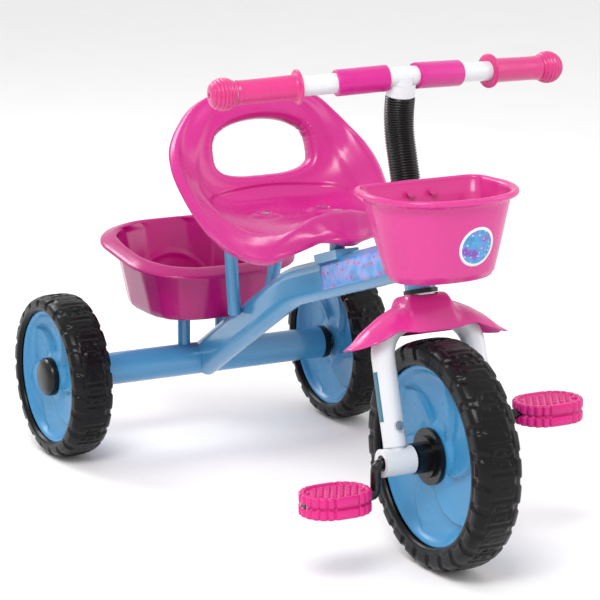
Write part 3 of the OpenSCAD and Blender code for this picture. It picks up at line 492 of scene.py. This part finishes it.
def build_rear_basket():
    """An open shell from its panelled floor up to a tilted, rounded and rolled rim."""
    n, n_fine = 216, 720
    bx = -17.0
    tilt = math.radians(7)
    floor_z, rim_z = 164.5, 245.0
    base_size, base_corner = (147, 153), 46
    rim_size, rim_corner = (185, 187), 64.0
    c, s = math.cos(tilt), math.sin(tilt)

    def smooth_loop(length, width, corner):
        loop = rounded(length, width, corner, n_fine)
        k = int(np.argmin(np.abs(loop[:, 1]) + 1e3 * (loop[:, 0] < 0)))
        return resample(np.roll(loop, -k, axis=0), n)

    def blend(size, grow, corner, panel):
        """A loop between the rounded one (panel 0) and the panelled one (panel 1)."""
        length, width = size[0] + 2 * grow, size[1] + 2 * grow
        soft, flat = smooth_loop(length, width, corner), panelled(length, width, corner, n)
        return soft * (1 - panel) + flat * panel

    def base(grow, z, panel):
        p = blend(base_size, grow, max(base_corner + grow, 3), panel)
        return np.column_stack([p[:, 0] + bx, p[:, 1], np.full(n, z)])

    def rim(grow, z, panel):
        p = blend(rim_size, grow, rim_corner + grow, panel)
        return np.column_stack([bx + p[:, 0] * c + z * s, p[:, 1], rim_z - p[:, 0] * s + z * c])

    rings = [base(-70, floor_z, 0), base(-40, floor_z, 0), base(-14, floor_z, 0.3),
             base(-6, floor_z, 0.6), base(-2, floor_z + 1.0, 0.8), base(-0.2, floor_z + 3.5, 1.0)]
    low, high = base(0.6, floor_z + 6, 1.0), rim(0, -4, 1.0)
    for f in np.linspace(0.04, 0.96, 26):
        ring = low * (1 - f) + high * f
        # raised arch on the back wall
        back = smoothstep(-58, -72, ring[:, 0] - bx)
        y, z = ring[:, 1], ring[:, 2]
        arch = np.exp(-((np.hypot(y / 50, (z - 168) / 46) - 1) / 0.06) ** 2)
        ring = ring + np.column_stack([1.8 * arch * back, 0 * y, 0 * y])
        rings.append(ring)
    rings += [rim(0.2, -1.6, 0.8), rim(0.9, 0.1, 0.5), rim(2.4, 0.9, 0.2), rim(5.0, 0.5, 0.1),
              rim(9.5, -1.6, 0.0), rim(14.0, -3.8, 0.0), rim(17.3, -5.4, 0.0), rim(18.6, -6.8, 0.0),
              rim(18.9, -9.0, 0.0)]
    verts = np.concatenate(rings)
    faces = grid_faces(len(rings), n, wrap=True)
    faces.append(tuple(range(n)))
    piece("rear_basket_shell", verts, faces, deep_pink, "frame", REAR,
          ("rear_basket",), solid=2.4)


build_rear_basket()
lo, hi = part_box("front_basket")
fb_back, fb_front = lo.x / MM, hi.x / MM
fb_half, fb_floor, fb_rim = hi.y / MM, lo.z / MM, hi.z / MM


def build_front_basket():
    """Closed: up the outside, over the rolled rim and down the inside. Returns its surface."""
    n = 144
    wall = 2.6
    bow_power = 2 / 2.35

    def ring(back, front, half, z, back_c=16.0):
        """Level loop with a bowed front, straight sides and a flat back with rounded corners."""
        depth = front - back
        bc = min(back_c, half - 2, depth * 0.4)
        wide = back + 0.36 * depth
        a = np.linspace(0, math.pi / 2, 40)
        bow_x = wide + (front - wide) * np.cos(a) ** bow_power
        bow_y = half * np.sin(a) ** bow_power
        b = np.linspace(0, math.pi / 2, 16)
        # the side runs in a little towards the back corner
        tail_x = back + bc - bc * np.sin(b)
        tail_y = half - 0.035 * depth - bc + bc * np.cos(b)
        quarter = np.column_stack([np.concatenate([bow_x, tail_x]),
                                   np.concatenate([bow_y, tail_y])])
        loop = np.vstack([quarter, quarter[::-1][:-1] * [1, -1]])
        p = resample(loop, n)
        return np.column_stack([p, np.full(n, z)])

    # back, front and half width at the floor, then at the rim
    b0, f0, h0 = fb_back + 33.3, fb_front - 30.7, 61.0
    b1, f1, h1 = fb_back + 5, fb_front - 7, fb_half - 7
    rings = [ring(b0 + 22, f0 - 22, h0 - 30, fb_floor), ring(b0 + 8, f0 - 8, h0 - 8, fb_floor),
             ring(b0 + 4, f0 - 4, h0 - 4, fb_floor + 0.5),
             ring(b0 + 1.3, f0 - 1.3, h0 - 1.3, fb_floor + 2.4),
             ring(b0 + 0.2, f0 - 0.2, h0 - 0.2, fb_floor + 5.5)]
    for f in np.linspace(0.07, 0.90, 22):
        # a shallow bow in the wall, as a moulding has after it cools
        bow = 0.7 * math.sin(math.pi * f)
        rings.append(ring(b0 + (b1 - b0) * f - bow * 0.2, f0 + (f1 - f0) * f + bow,
                          h0 + (h1 - h0) * f + bow * 0.6, fb_floor + (fb_rim - fb_floor) * f))
    for out, z in [(0.0, -8.2), (1.2, -7.8), (3.6, -7.2), (5.8, -6.2), (6.8, -4.6), (7.0, -3.0),
                   (6.6, -1.4), (5.4, -0.3), (3.6, 0.0), (1.4, -0.3), (-0.6, -1.2), (-2.0, -2.8),
                   (-2.6, -5.5)]:
        k = out / 7.0
        rings.append(ring(b1 - 5 * max(k, k * 0.4), f1 + out, h1 + out, fb_rim + z, 16 + out))
    for f in np.linspace(0.86, 0.04, 18):
        rings.append(ring(b0 + (b1 - b0) * f + wall, f0 + (f1 - f0) * f - wall,
                          h0 + (h1 - h0) * f - wall, fb_floor + (fb_rim - fb_floor) * f))
    rings += [ring(b0 + 4.5, f0 - 4.5, h0 - 4.5, fb_floor + 2.9),
              ring(b0 + 8, f0 - 8, h0 - 8, fb_floor + 2.5),
              ring(b0 + 22, f0 - 22, h0 - 30, fb_floor + 2.5)]
    verts = np.concatenate(rings)
    faces = grid_faces(len(rings), n, wrap=True)
    last = (len(rings) - 1) * n
    faces += [tuple(range(n)), tuple(range(last + n - 1, last - 1, -1))]
    piece("front_basket_shell", verts, faces, orchid, "steering", None,
          ("front_basket",))
    return BVHTree.FromPolygons([Vector(v) for v in verts], faces)


front_wall = build_front_basket()


def build_basket_sticker():
    """Round sticker pressed on to the basket's front: a white ring round a printed field."""
    cy, cz, n = 17.0, 363.0, 48
    start_x, lift, edge_lift = 700, 0.35, 0.02
    radii = [0.01, 5, 10, 15, 19.2, 19.8, 22.2, 22.4]
    printed_rows = 4
    verts = []
    for k, r in enumerate(radii):
        for i in range(n):
            a = 2 * math.pi * i / n
            y, z = cy + r * math.cos(a), cz + r * math.sin(a)
            hit = front_wall.ray_cast(Vector((start_x, y, z)), Vector((-1, 0, 0)))
            nrm = hit[1] if hit[1].x > 0 else -hit[1]
            verts.append(hit[0] + nrm * (lift if k < len(radii) - 1 else edge_lift))
    faces = grid_faces(len(radii), n, wrap=True)
    ring_of = [0 if i // n < printed_rows else 1 for i in range(len(faces))]
    piece("basket_sticker", verts, faces, None, "steering",
          mats=[disc_print, sticker_white], face_mats=ring_of)


build_basket_sticker()


# ---------------------------------------------------------------- fender

def build_fender():
    """A saddle over the wheel: a tall crown block that falls away to a tip on each side."""
    half = 98
    y_at = [0, 21, 25, 29, 34, 45, 57, 75, 88, 98]
    crest = [176, 176, 175, 166, 163.8, 159.5, 154, 143, 132.5, 126.5]
    rows, cols = 61, 121
    u = np.linspace(1, -1, rows)
    v = np.linspace(-1, 1, cols)
    uu, vv = np.meshgrid(u, v, indexing="ij")
    y = np.abs(vv) * half
    top = np.interp(y, y_at, crest)
    edge = np.interp(y, [0, 50, 75, 90, 98], [134, 134, 128.5, 125.2, 124.6])
    reach = np.interp(y, [0, 55, 75, 90, 98], [31, 30, 26, 16, 9])
    power = np.interp(y, [0, 24, 36, 98], [5, 5, 2.6, 2.2])
    for arr in (top, edge, reach, power):
        arr[:, 1:-1] = (arr[:, :-2] + 2 * arr[:, 1:-1] + arr[:, 2:]) / 4
    # scalloped front edge and a soft crease that runs from the crown block out to each tip
    scallop = 4.0 * np.exp(-((y - 46) / 17) ** 2) * smoothstep(0.5, 1.0, uu)
    crease = (2.4 * np.exp(-((uu - 0.10) / 0.12) ** 2) * smoothstep(26, 34, y)
              * smoothstep(99, 80, y))
    z = edge + (top - edge) * (1 - np.abs(uu) ** power) + scallop + crease
    pts = np.stack([(-3 + uu * reach).ravel(), (vv * half).ravel(), z.ravel()], 1)
    bm = sheet_bmesh(pts, rows, cols, (-3, 0, 175))
    bm.normal_update()
    roll_edge(bm, boundary_loops(bm)[0], [(0.6, 0.3), (0.9, 0.9)])
    co, faces = take_lists(bm)
    piece("fender_shell", co, faces, orchid, "steering", STEER, ("fender",),
          solid=2.2)


build_fender()


# ---------------------------------------------------------------- tyres and wheels

PETALS, SWIRL = 6, 0.95
HUB_R, DISC_FACE = 14.2, 17.0


def pulse(x, half, soft):
    """1 within half of 0, falling to 0 over soft."""
    return smoothstep(half + soft, half, np.abs(x))


def build_tyre(name, centre, body, node, ro, ri, w, repeats, per):
    """Ring with a zigzag crown between plain pads, and slanted lugs on its shoulders."""
    n = repeats * per
    half = w / 2
    rc = ro - 13.0
    crown_power = 2 / 2.9
    a = np.linspace(0, math.pi, 45)
    ny = np.sign(np.cos(a)) * np.abs(np.cos(a)) ** crown_power * half
    nr = rc + (ro - rc) * np.abs(np.sin(a)) ** crown_power
    side = np.linspace(ri + 2.5, rc, 9)[:-1]
    bulge = half - 1.2 * ((side - rc) / (ri - rc)) ** 2
    lip_r = [ri - 0.3, ri + 0.6]
    lip_y = [half - 5.0, half - 3.0]
    r = np.concatenate([lip_r, side, nr, side[::-1], lip_r[::-1]])
    y = np.concatenate([lip_y, bulge, ny, -bulge[::-1], [-v for v in lip_y[::-1]]])
    m = len(r)
    theta = np.linspace(0, 2 * math.pi, n, endpoint=False)
    rr, th = np.meshgrid(r, theta, indexing="ij")
    yy, _ = np.meshgrid(y, theta, indexing="ij")
    cell = th * repeats / (2 * math.pi)
    c = np.abs(yy) / half
    u = cell - np.floor(cell)
    odd = np.floor(cell) % 2
    shoulder = smoothstep(0.50, 0.66, c) * smoothstep(ri + 4, ri + 12, rr)
    lug = pulse(u - 0.5 - 0.30 * (c - 0.75) * np.sign(yy), 0.10, 0.09) * shoulder
    tri = np.abs(((yy / half * 2.6) % 1.0) - 0.5) * 2
    zig = pulse(u - 0.30 - 0.30 * tri, 0.05, 0.06) + pulse(u - 0.52 - 0.30 * tri, 0.05, 0.06)
    crown = smoothstep(0.52, 0.42, c)
    rung = pulse(u - 0.08, 0.045, 0.05) * smoothstep(0.60, 0.50, c)
    gap = pulse(c - 0.55, 0.02, 0.035) * 0.8
    depth = 2.5 * lug + 2.0 * crown * zig * (0.30 + 0.70 * odd) + 1.2 * rung + 0.9 * gap
    # shallow concentric line on the sidewall, where the mould parts
    depth = depth + 0.5 * pulse(rr - (ri + 9.0), 0.7, 0.6) * (c > 0.9)
    nrm_r = np.clip((rr - rc) / (ro - rc), 0, 1)
    rr2 = rr - depth * (0.35 + 0.65 * nrm_r)
    yy2 = yy - np.sign(yy) * depth * (1 - nrm_r) * 0.8
    pts = np.stack([(rr2 * np.sin(th)).ravel(), yy2.ravel(), (rr2 * np.cos(th)).ravel()], 1)
    piece(name, pts, grid_faces(m, n, wrap=True), tyre_black, body,
          Matrix.Translation(centre), (node,))


def disc_profile(rim_r, hub_r, face, n_r):
    """Radii of the disc, the same from 0 at the hub to 1 at the rim, and the face's height."""
    r = np.linspace(hub_r, rim_r - 0.2, n_r)
    k = (r - hub_r) / (rim_r - hub_r)
    y = (face - 2.1 - 3.4 * smoothstep(0.12, 0.32, k) * smoothstep(0.98, 0.80, k)
         + 4.4 * smoothstep(0.88, 0.97, k))
    return r, k, y


def build_rim(name, centre, side, body, node, rim_r, hub_r, face, clear):
    """Wheel disc with a rolled outer lip and overlapping swirled petals that end in sharp steps."""
    per, n_r = 26, 44
    n = PETALS * per
    r, k, y = disc_profile(rim_r, hub_r, face, n_r)
    u = np.linspace(0, 1, per)
    u = np.concatenate([u[:-1] * 0.965, [0.985]])
    cols = np.concatenate([(p + u) * 2 * math.pi / PETALS for p in range(PETALS)])
    rr, cc = np.meshgrid(r, cols, indexing="ij")
    kk, _ = np.meshgrid(k, cols, indexing="ij")
    yy, _ = np.meshgrid(y, cols, indexing="ij")
    uu = np.tile(u, PETALS)[None, :].repeat(n_r, 0)
    th = cc + SWIRL * kk ** 1.3
    window = smoothstep(clear, clear + 0.12, kk) * smoothstep(0.92, 0.76, kk)
    fall = np.where(uu > 0.97, 0.0, (1 - uu) ** 0.8)
    lift = 6.5 * fall - 1.2 * np.sin(math.pi * uu) * (uu < 0.97)
    yy = yy + window * (lift - 3.6)
    x, z = rr * np.sin(th * side), rr * np.cos(th * side)
    pts = np.stack([x.ravel(), (yy * side).ravel(), z.ravel()], 1)
    faces = grid_faces(n_r, n, wrap=True)
    # outer lip folds back against the tyre, and the hub edge goes in to the axle
    a = cols[None, :] + SWIRL
    back = []
    for r_b, y_b in [(rim_r - 0.05, face + 2.2), (rim_r - 0.05, face - 8.0), (rim_r - 6.0, 1.0),
                     (hub_r * 0.6, 1.0)]:
        back.append(np.stack([r_b * np.sin(a * side), np.full_like(a, y_b * side),
                              r_b * np.cos(a * side)], 2)[0])
    start = len(pts)
    pts = np.concatenate([pts] + back)
    rows = [list(range((n_r - 1) * n, n_r * n))] + [list(range(start + i * n, start + (i + 1) * n))
                                                    for i in range(4)]
    rows.append(list(range(0, n)))
    for p, q in zip(rows[:-2], rows[1:-1]):
        faces += [(p[j], p[(j + 1) % n], q[(j + 1) % n], q[j]) for j in range(n)]
    p, q = rows[-2], rows[-1]
    shift = int(round(SWIRL / (2 * math.pi) * n))
    faces += [(p[j], p[(j + 1) % n], q[(j + 1 + shift) % n], q[(j + shift) % n]) for j in range(n)]
    piece(name, pts, faces, wheel_blue, body, Matrix.Translation(centre), (node,))


build_tyre("front_tyre_tread", front_axle, "front_wheel", "front_tyre", 127, 100, 54, 26, 18)
for side, word in ((-1, "right"), (1, "left")):
    build_rim("front_disc_" + word, front_axle, side, "front_wheel", "front_rim_" + word, 100,
              HUB_R, DISC_FACE, 0.22)
    rc_at = Vector((rear_axle_x, side * rear_y, rear_z))
    wheel = "rear_wheel_" + word
    build_tyre("rear_tyre_tread_" + word, rc_at, wheel, "rear_tyre_" + word, 100, 81, 52, 22, 18)
    build_rim("rear_disc_outer_" + word, rc_at, side, wheel, "rear_rim_outer_" + word, 81, HUB_R,
              DISC_FACE, 0.17)
    build_rim("rear_disc_inner_" + word, rc_at, -side, wheel, "rear_rim_inner_" + word, 81, HUB_R,
              DISC_FACE, 0.17)


CAP_PROFILE = [(23.4, 15.05), (23.5, 19.5), (23.2, 21.8), (22.0, 24.2), (19.8, 26.2), (16.5, 27.5),
               (12.0, 28.4), (6.0, 28.95), (0.3, 29.05)]
for side, word in ((-1, "right"), (1, "left")):
    v, f = lathe([(r, side * y) for r, y in CAP_PROFILE])
    piece("hub_button_" + word, v, f, black_plastic, "rear_wheel_" + word,
          Matrix.Translation((rear_axle_x, side * rear_y, rear_z)), ("hub_cap_" + word,))


# ---------------------------------------------------------------- pedals

def build_pedal(name, centre, body, node):
    """Oval tread with lobed sides in two tiers, and a recessed top sprinkled with studs."""
    n = 240
    a = np.linspace(0, 2 * math.pi, n, endpoint=False)
    base = corner_loop([(0, 11), (0, -11)], [30, 30], n)
    lobe = np.abs(np.cos(a * 10)) ** 0.55

    def ring(inset, z, lobes=1.0):
        length = np.linalg.norm(base, axis=1)
        scale = (length - inset - 3.2 * lobes * (1 - lobe)) / length
        return np.column_stack([base * scale[:, None], np.full(n, z)])

    rings = [ring(20, 10.2, 0), ring(11, 10.2, 0), ring(7.6, 10.3, 0), ring(6.8, 10.8, 0.3),
             ring(6.3, 11.8, 0.6), ring(5.4, 12.2, 0.8), ring(2.2, 12.3), ring(0.9, 11.8),
             ring(0.2, 10.6), ring(0.2, 2.4), ring(0.8, 1.7), ring(3.4, 1.3, 0.4),
             ring(3.4, -1.3, 0.4), ring(0.8, -1.7), ring(0.2, -2.4), ring(0.2, -10.6),
             ring(0.9, -11.8), ring(2.2, -12.3), ring(5.4, -12.2, 0.8), ring(6.3, -11.8, 0.6),
             ring(6.8, -10.8, 0.3), ring(7.6, -10.3, 0), ring(11, -10.2, 0), ring(20, -10.2, 0)]
    verts = np.concatenate(rings)
    faces = grid_faces(len(rings), n, wrap=True)
    last = (len(rings) - 1) * n
    faces += [tuple(range(n)), tuple(range(last + n - 1, last - 1, -1))]
    studs = []
    for row in range(-3, 4):
        for col in range(-5, 6):
            x, y = row * 7.4, col * 8.4 + (4.2 if row % 2 else 0)
            if math.hypot(x, max(abs(y) - 11, 0)) < 20.5:
                studs.append((x, y))
    verts = [tuple(v) for v in verts]
    for x, y in studs:
        for up in (1, -1):
            start = len(verts)
            for r, h in ((2.7, 10.0), (2.5, 11.3), (1.8, 12.1), (0.8, 12.4)):
                for i in range(10):
                    b = 2 * math.pi * i / 10
                    verts.append((x + r * math.cos(b), y + r * math.sin(b), up * h))
            faces += [tuple(start + i for i in q) for q in grid_faces(4, 10, wrap=True)]
            faces.append(tuple(range(start + 30, start + 40)))
    piece(name, verts, faces, pedal_pink, body, Matrix.Translation(centre), (node,))


for side, word in ((-1, "right"), (1, "left")):
    lo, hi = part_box("pedal_" + word)
    build_pedal("pedal_tread_" + word, (lo + hi) / 2, "pedal_" + word, "pedal_" + word)


# ---------------------------------------------------------------- handlebar and stem

# the stem runs straight up to BEND_Z, turns back on a radius and goes on for TOP_RUN
STEM_TURN = math.radians(25)
BEND_Z, BEND_R, TOP_RUN = 340.0, 100.0, 32.0
BAR_SWEEP = math.radians(8)
stem_knee = BEND_R * math.tan(STEM_TURN / 2)
knee_z = BEND_Z + stem_knee
top_x = (stem_knee + TOP_RUN) * math.sin(STEM_TURN)
top_z = knee_z + (stem_knee + TOP_RUN) * math.cos(STEM_TURN)
BAR = STEER @ Matrix.Translation((top_x * MM, 0, top_z * MM))


def bar_side(side):
    """Places a piece turned about Y on one half of the handlebar."""
    turn = Matrix.Rotation(BAR_SWEEP, 4, "Z")
    flip = Matrix.Diagonal((1, side, 1, 1))
    return BAR @ flip @ turn


def grip_profile():
    """Flange, smooth barrel and seven ribs on a rounded end, with the hole in its middle."""
    prof = [(11.1, 119.0), (18.2, 119.0), (19.0, 119.7), (19.0, 121.4), (18.2, 122.1),
            (15.0, 122.5), (13.9, 123.6), (13.6, 126.0), (13.3, 150.0), (13.2, 175.0),
            (13.4, 186.5), (13.8, 189.0)]
    for k in range(7):
        at = 191.0 + 4.1 * k
        for d, drop in ((0.0, 1.3), (0.5, 0.3), (1.3, 0.0), (2.3, 0.0), (3.1, 0.3), (3.6, 1.3)):
            y = at + d
            body = math.sqrt(max(18.0 ** 2 - (y - 204.5) ** 2, 36.0))
            prof.append((body - drop, y))
    prof += [(8.5, 219.6), (5.5, 219.9), (3.4, 219.8), (2.9, 219.0), (2.6, 214.0)]
    return prof


for side, word in ((-1, "right"), (1, "left")):
    v, f = lathe(grip_profile())
    piece("grip_moulding_" + word, v, f, grip_pink, "steering", bar_side(side),
          ("grip_" + word,))
    prof = [(11.05, 17.5), (13.6, 17.5), (14.3, 17.9), (14.5, 18.8), (14.45, 30), (14.5, 45),
            (14.45, 60), (14.5, 75.6), (14.3, 76.6), (13.6, 77.0), (11.05, 77.0)]
    v, f = lathe(prof)
    foam = piece("foam_tube_" + word, v, f, foam_pink, "steering", bar_side(side),
                 ("foam_sleeve_" + word,))


def build_hose():
    """Corrugated hose that follows the stem round its bend, one ridge every 3 mm."""
    n, pitch, steps = 48, 3.0, 7
    start, neck_cover = 300.0, 22.0
    straight = BEND_Z - start
    arc = BEND_R * STEM_TURN
    total = straight + arc + TOP_RUN - neck_cover
    a = np.linspace(0, 2 * math.pi, n, endpoint=False)
    rings = []
    for d in np.arange(0, total, pitch / steps):
        turn = min(max(d - straight, 0.0) / BEND_R, STEM_TURN)
        past = max(d - straight - arc, 0.0)
        x = BEND_R * (1 - math.cos(turn)) + past * math.sin(turn)
        z = min(start + d, BEND_Z) + BEND_R * math.sin(turn) + past * math.cos(turn)
        phase = (d / pitch) % 1.0
        r = 15.2 + 1.25 * smoothstep(0.12, 0.32, phase) * smoothstep(0.95, 0.72, phase)
        rings.append(np.stack([x + r * np.cos(a) * math.cos(turn), r * np.sin(a),
                               z - r * np.cos(a) * math.sin(turn)], 1))
    piece("stem_hose", np.concatenate(rings), grid_faces(len(rings), n, wrap=True), hose_black,
          "steering", STEER, ("stem_sleeve",), solid=0.5)


build_hose()


# ---------------------------------------------------------------- stickers on the tubes

def wrap_patch(name, node, body, mat, origin_of, toward, rows, cols, lift=0.3):
    """A thin patch on a CAD node: rays start at origin_of(row, column) and run along toward."""
    mesh = frame["nodes"][node].data
    tree = BVHTree.FromPolygons([v.co for v in mesh.vertices],
                                [tuple(p.vertices) for p in mesh.polygons])
    verts = []
    for i in range(rows):
        for j in range(cols):
            hit = tree.ray_cast(origin_of(i / (rows - 1), j / (cols - 1)), toward)
            if hit[0] is None:
                return None
            nrm = hit[1] if hit[1].dot(toward) < 0 else -hit[1]
            verts.append((hit[0] + nrm * lift * MM) / MM)
    return piece(name, verts, grid_faces(rows, cols), mat, body, solid=0.2, offset=0.0)


# the beam rises from the rear axle to its bend, and then runs to the head at a gentler slope
REAR_RISE, REAR_RUN = math.radians(30.7), 0.279
slope = math.radians(18)
along = Vector((math.cos(slope), 0, math.sin(slope)))
upward = Vector((-math.sin(slope), 0, math.cos(slope)))
bend = Vector((rear_axle_x + REAR_RUN * math.cos(REAR_RISE), 0,
               rear_z - 0.002 + REAR_RUN * math.sin(REAR_RISE)))
for side, word in ((-1, "right"), (1, "left")):
    def band(u, v, side=side):
        on_beam = bend + along * (0.100 + 0.180 * u) + upward * (-0.0135 + 0.029 * v)
        return on_beam + Vector((0, side * 0.1, 0))
    wrap_patch("beam_sticker_" + word, "main_beam", "frame", band_print, band,
               Vector((0, -side, 0)), 30, 10)

    def strip(u, v, side=side):
        p = Vector((-0.0045 + 0.009 * v, side * 0.15, 0.044 + 0.054 * u))
        return STEER @ p
    wrap_patch("leg_sticker_" + word, "fork_leg_" + word, "steering", sticker_teal,
               strip, Vector((0, -side, 0)), 16, 8)


# ---------------------------------------------------------------- finishes for the CAD nodes

def dress(mat, *names, bevel=0.0):
    """Gives CAD nodes a finish, and a rounded edge in mm where one is asked for."""
    for name in names:
        obj = frame["nodes"][name]
        obj.data.materials.clear()
        obj.data.materials.append(mat)
        if bevel:
            m = obj.modifiers.new("edge", "BEVEL")
            m.width = bevel * MM
            m.segments = 2
            m.limit_method = "ANGLE"
            m.angle_limit = math.radians(50)


dress(blue_paint, "main_beam", "rear_axle_tube", "head_tube", "seat_strut_right", "seat_strut_left",
      "seat_cross_plate", "basket_post_right", "basket_post_left")
dress(blue_paint, "seat_front_post", bevel=3.0)
dress(black_plastic, "head_bush_upper", "head_bush_lower", "axle_plug_right", "axle_plug_left",
      "crank_bush_right", "crank_bush_left", "basket_bracket", "front_hub_right", "front_hub_left")
dress(white_paint, "fork_steerer", "fork_leg_right", "fork_leg_left", "axle_housing_right",
      "axle_housing_left", "stem_tube", "handlebar_tube", "handlebar_neck")
dress(black_enamel, "crank")
dress(zinc, "seat_bolts", "rear_basket_screws", "rear_axle_rod", "axle_nuts", "housing_bolts",
      "steerer_nut", "pedal_nuts")
dress(orchid, "front_basket_screws", "fender_screws")


# ---------------------------------------------------------------- floor, light and camera

def stage():
    """A pale floor."""
    bm = bmesh.new()
    rows, cols = 40, 40
    size = 12.0
    verts = [bm.verts.new(((i / (rows - 1) - 0.5) * size, (j / (cols - 1) - 0.5) * size, 0.0))
             for i in range(rows) for j in range(cols)]
    for q in grid_faces(rows, cols):
        bm.faces.new([verts[k] for k in q])
    mesh = bpy.data.meshes.new("floor")
    bm.to_mesh(mesh)
    bm.free()
    floor = bpy.data.objects.new("floor", mesh)
    bpy.context.scene.collection.objects.link(floor)
    mat = surface("floor_paper", (0.90, 0.90, 0.90), rough=0.85, spread=0.05, tint=0.01,
                  grain_h=0.02, wave_h=0.0)
    mesh.materials.append(mat)


stage()
world = bpy.data.worlds.new("studio")
bpy.context.scene.world = world
world.use_nodes = True
world.node_tree.nodes["Background"].inputs["Color"].default_value = (1.0, 1.0, 1.0, 1)
world.node_tree.nodes["Background"].inputs["Strength"].default_value = 0.90


def area_light(name, at, target, size, power):
    data = bpy.data.lights.new(name, "AREA")
    data.shape = "RECTANGLE"
    data.size, data.size_y = size
    data.energy = power
    obj = bpy.data.objects.new(name, data)
    obj.location = at
    obj.rotation_euler = (Vector(target) - Vector(at)).to_track_quat("-Z", "Y").to_euler()
    bpy.context.scene.collection.objects.link(obj)


area_light("key", (1.6, -1.2, 2.4), (0, 0, 0.25), (1.2, 0.9), 44)
area_light("fill", (1.2, 2.2, 1.2), (0, 0, 0.3), (1.2, 1.6), 10)
area_light("rim", (-1.8, -0.8, 1.7), (0, 0, 0.3), (1.2, 0.8), 24)

# the camera is rolled about 0.1 degree about its line of sight, as the fit to the photo gave
CAMERA_AT = (rear_axle_x + 3.275, -1.596, 1.0485)
CAMERA_LENS = 179.65
cam_data = bpy.data.cameras.new("camera")
cam_data.lens = CAMERA_LENS
cam_data.sensor_width = 36.0
cam_data.clip_end = 60.0
camera = bpy.data.objects.new("camera", cam_data)
right = Vector((0.467, 0.8843, 0.0024))
look = Vector((-0.8595, 0.4546, -0.2337))
up = right.cross(look)
basis = Matrix((right.normalized(), up.normalized(), -look.normalized())).transposed()
camera.matrix_world = Matrix.Translation(CAMERA_AT) @ basis.to_4x4()
bpy.context.scene.collection.objects.link(camera)
bpy.context.scene.camera = camera
bpy.context.scene.view_settings.view_transform = "Standard"
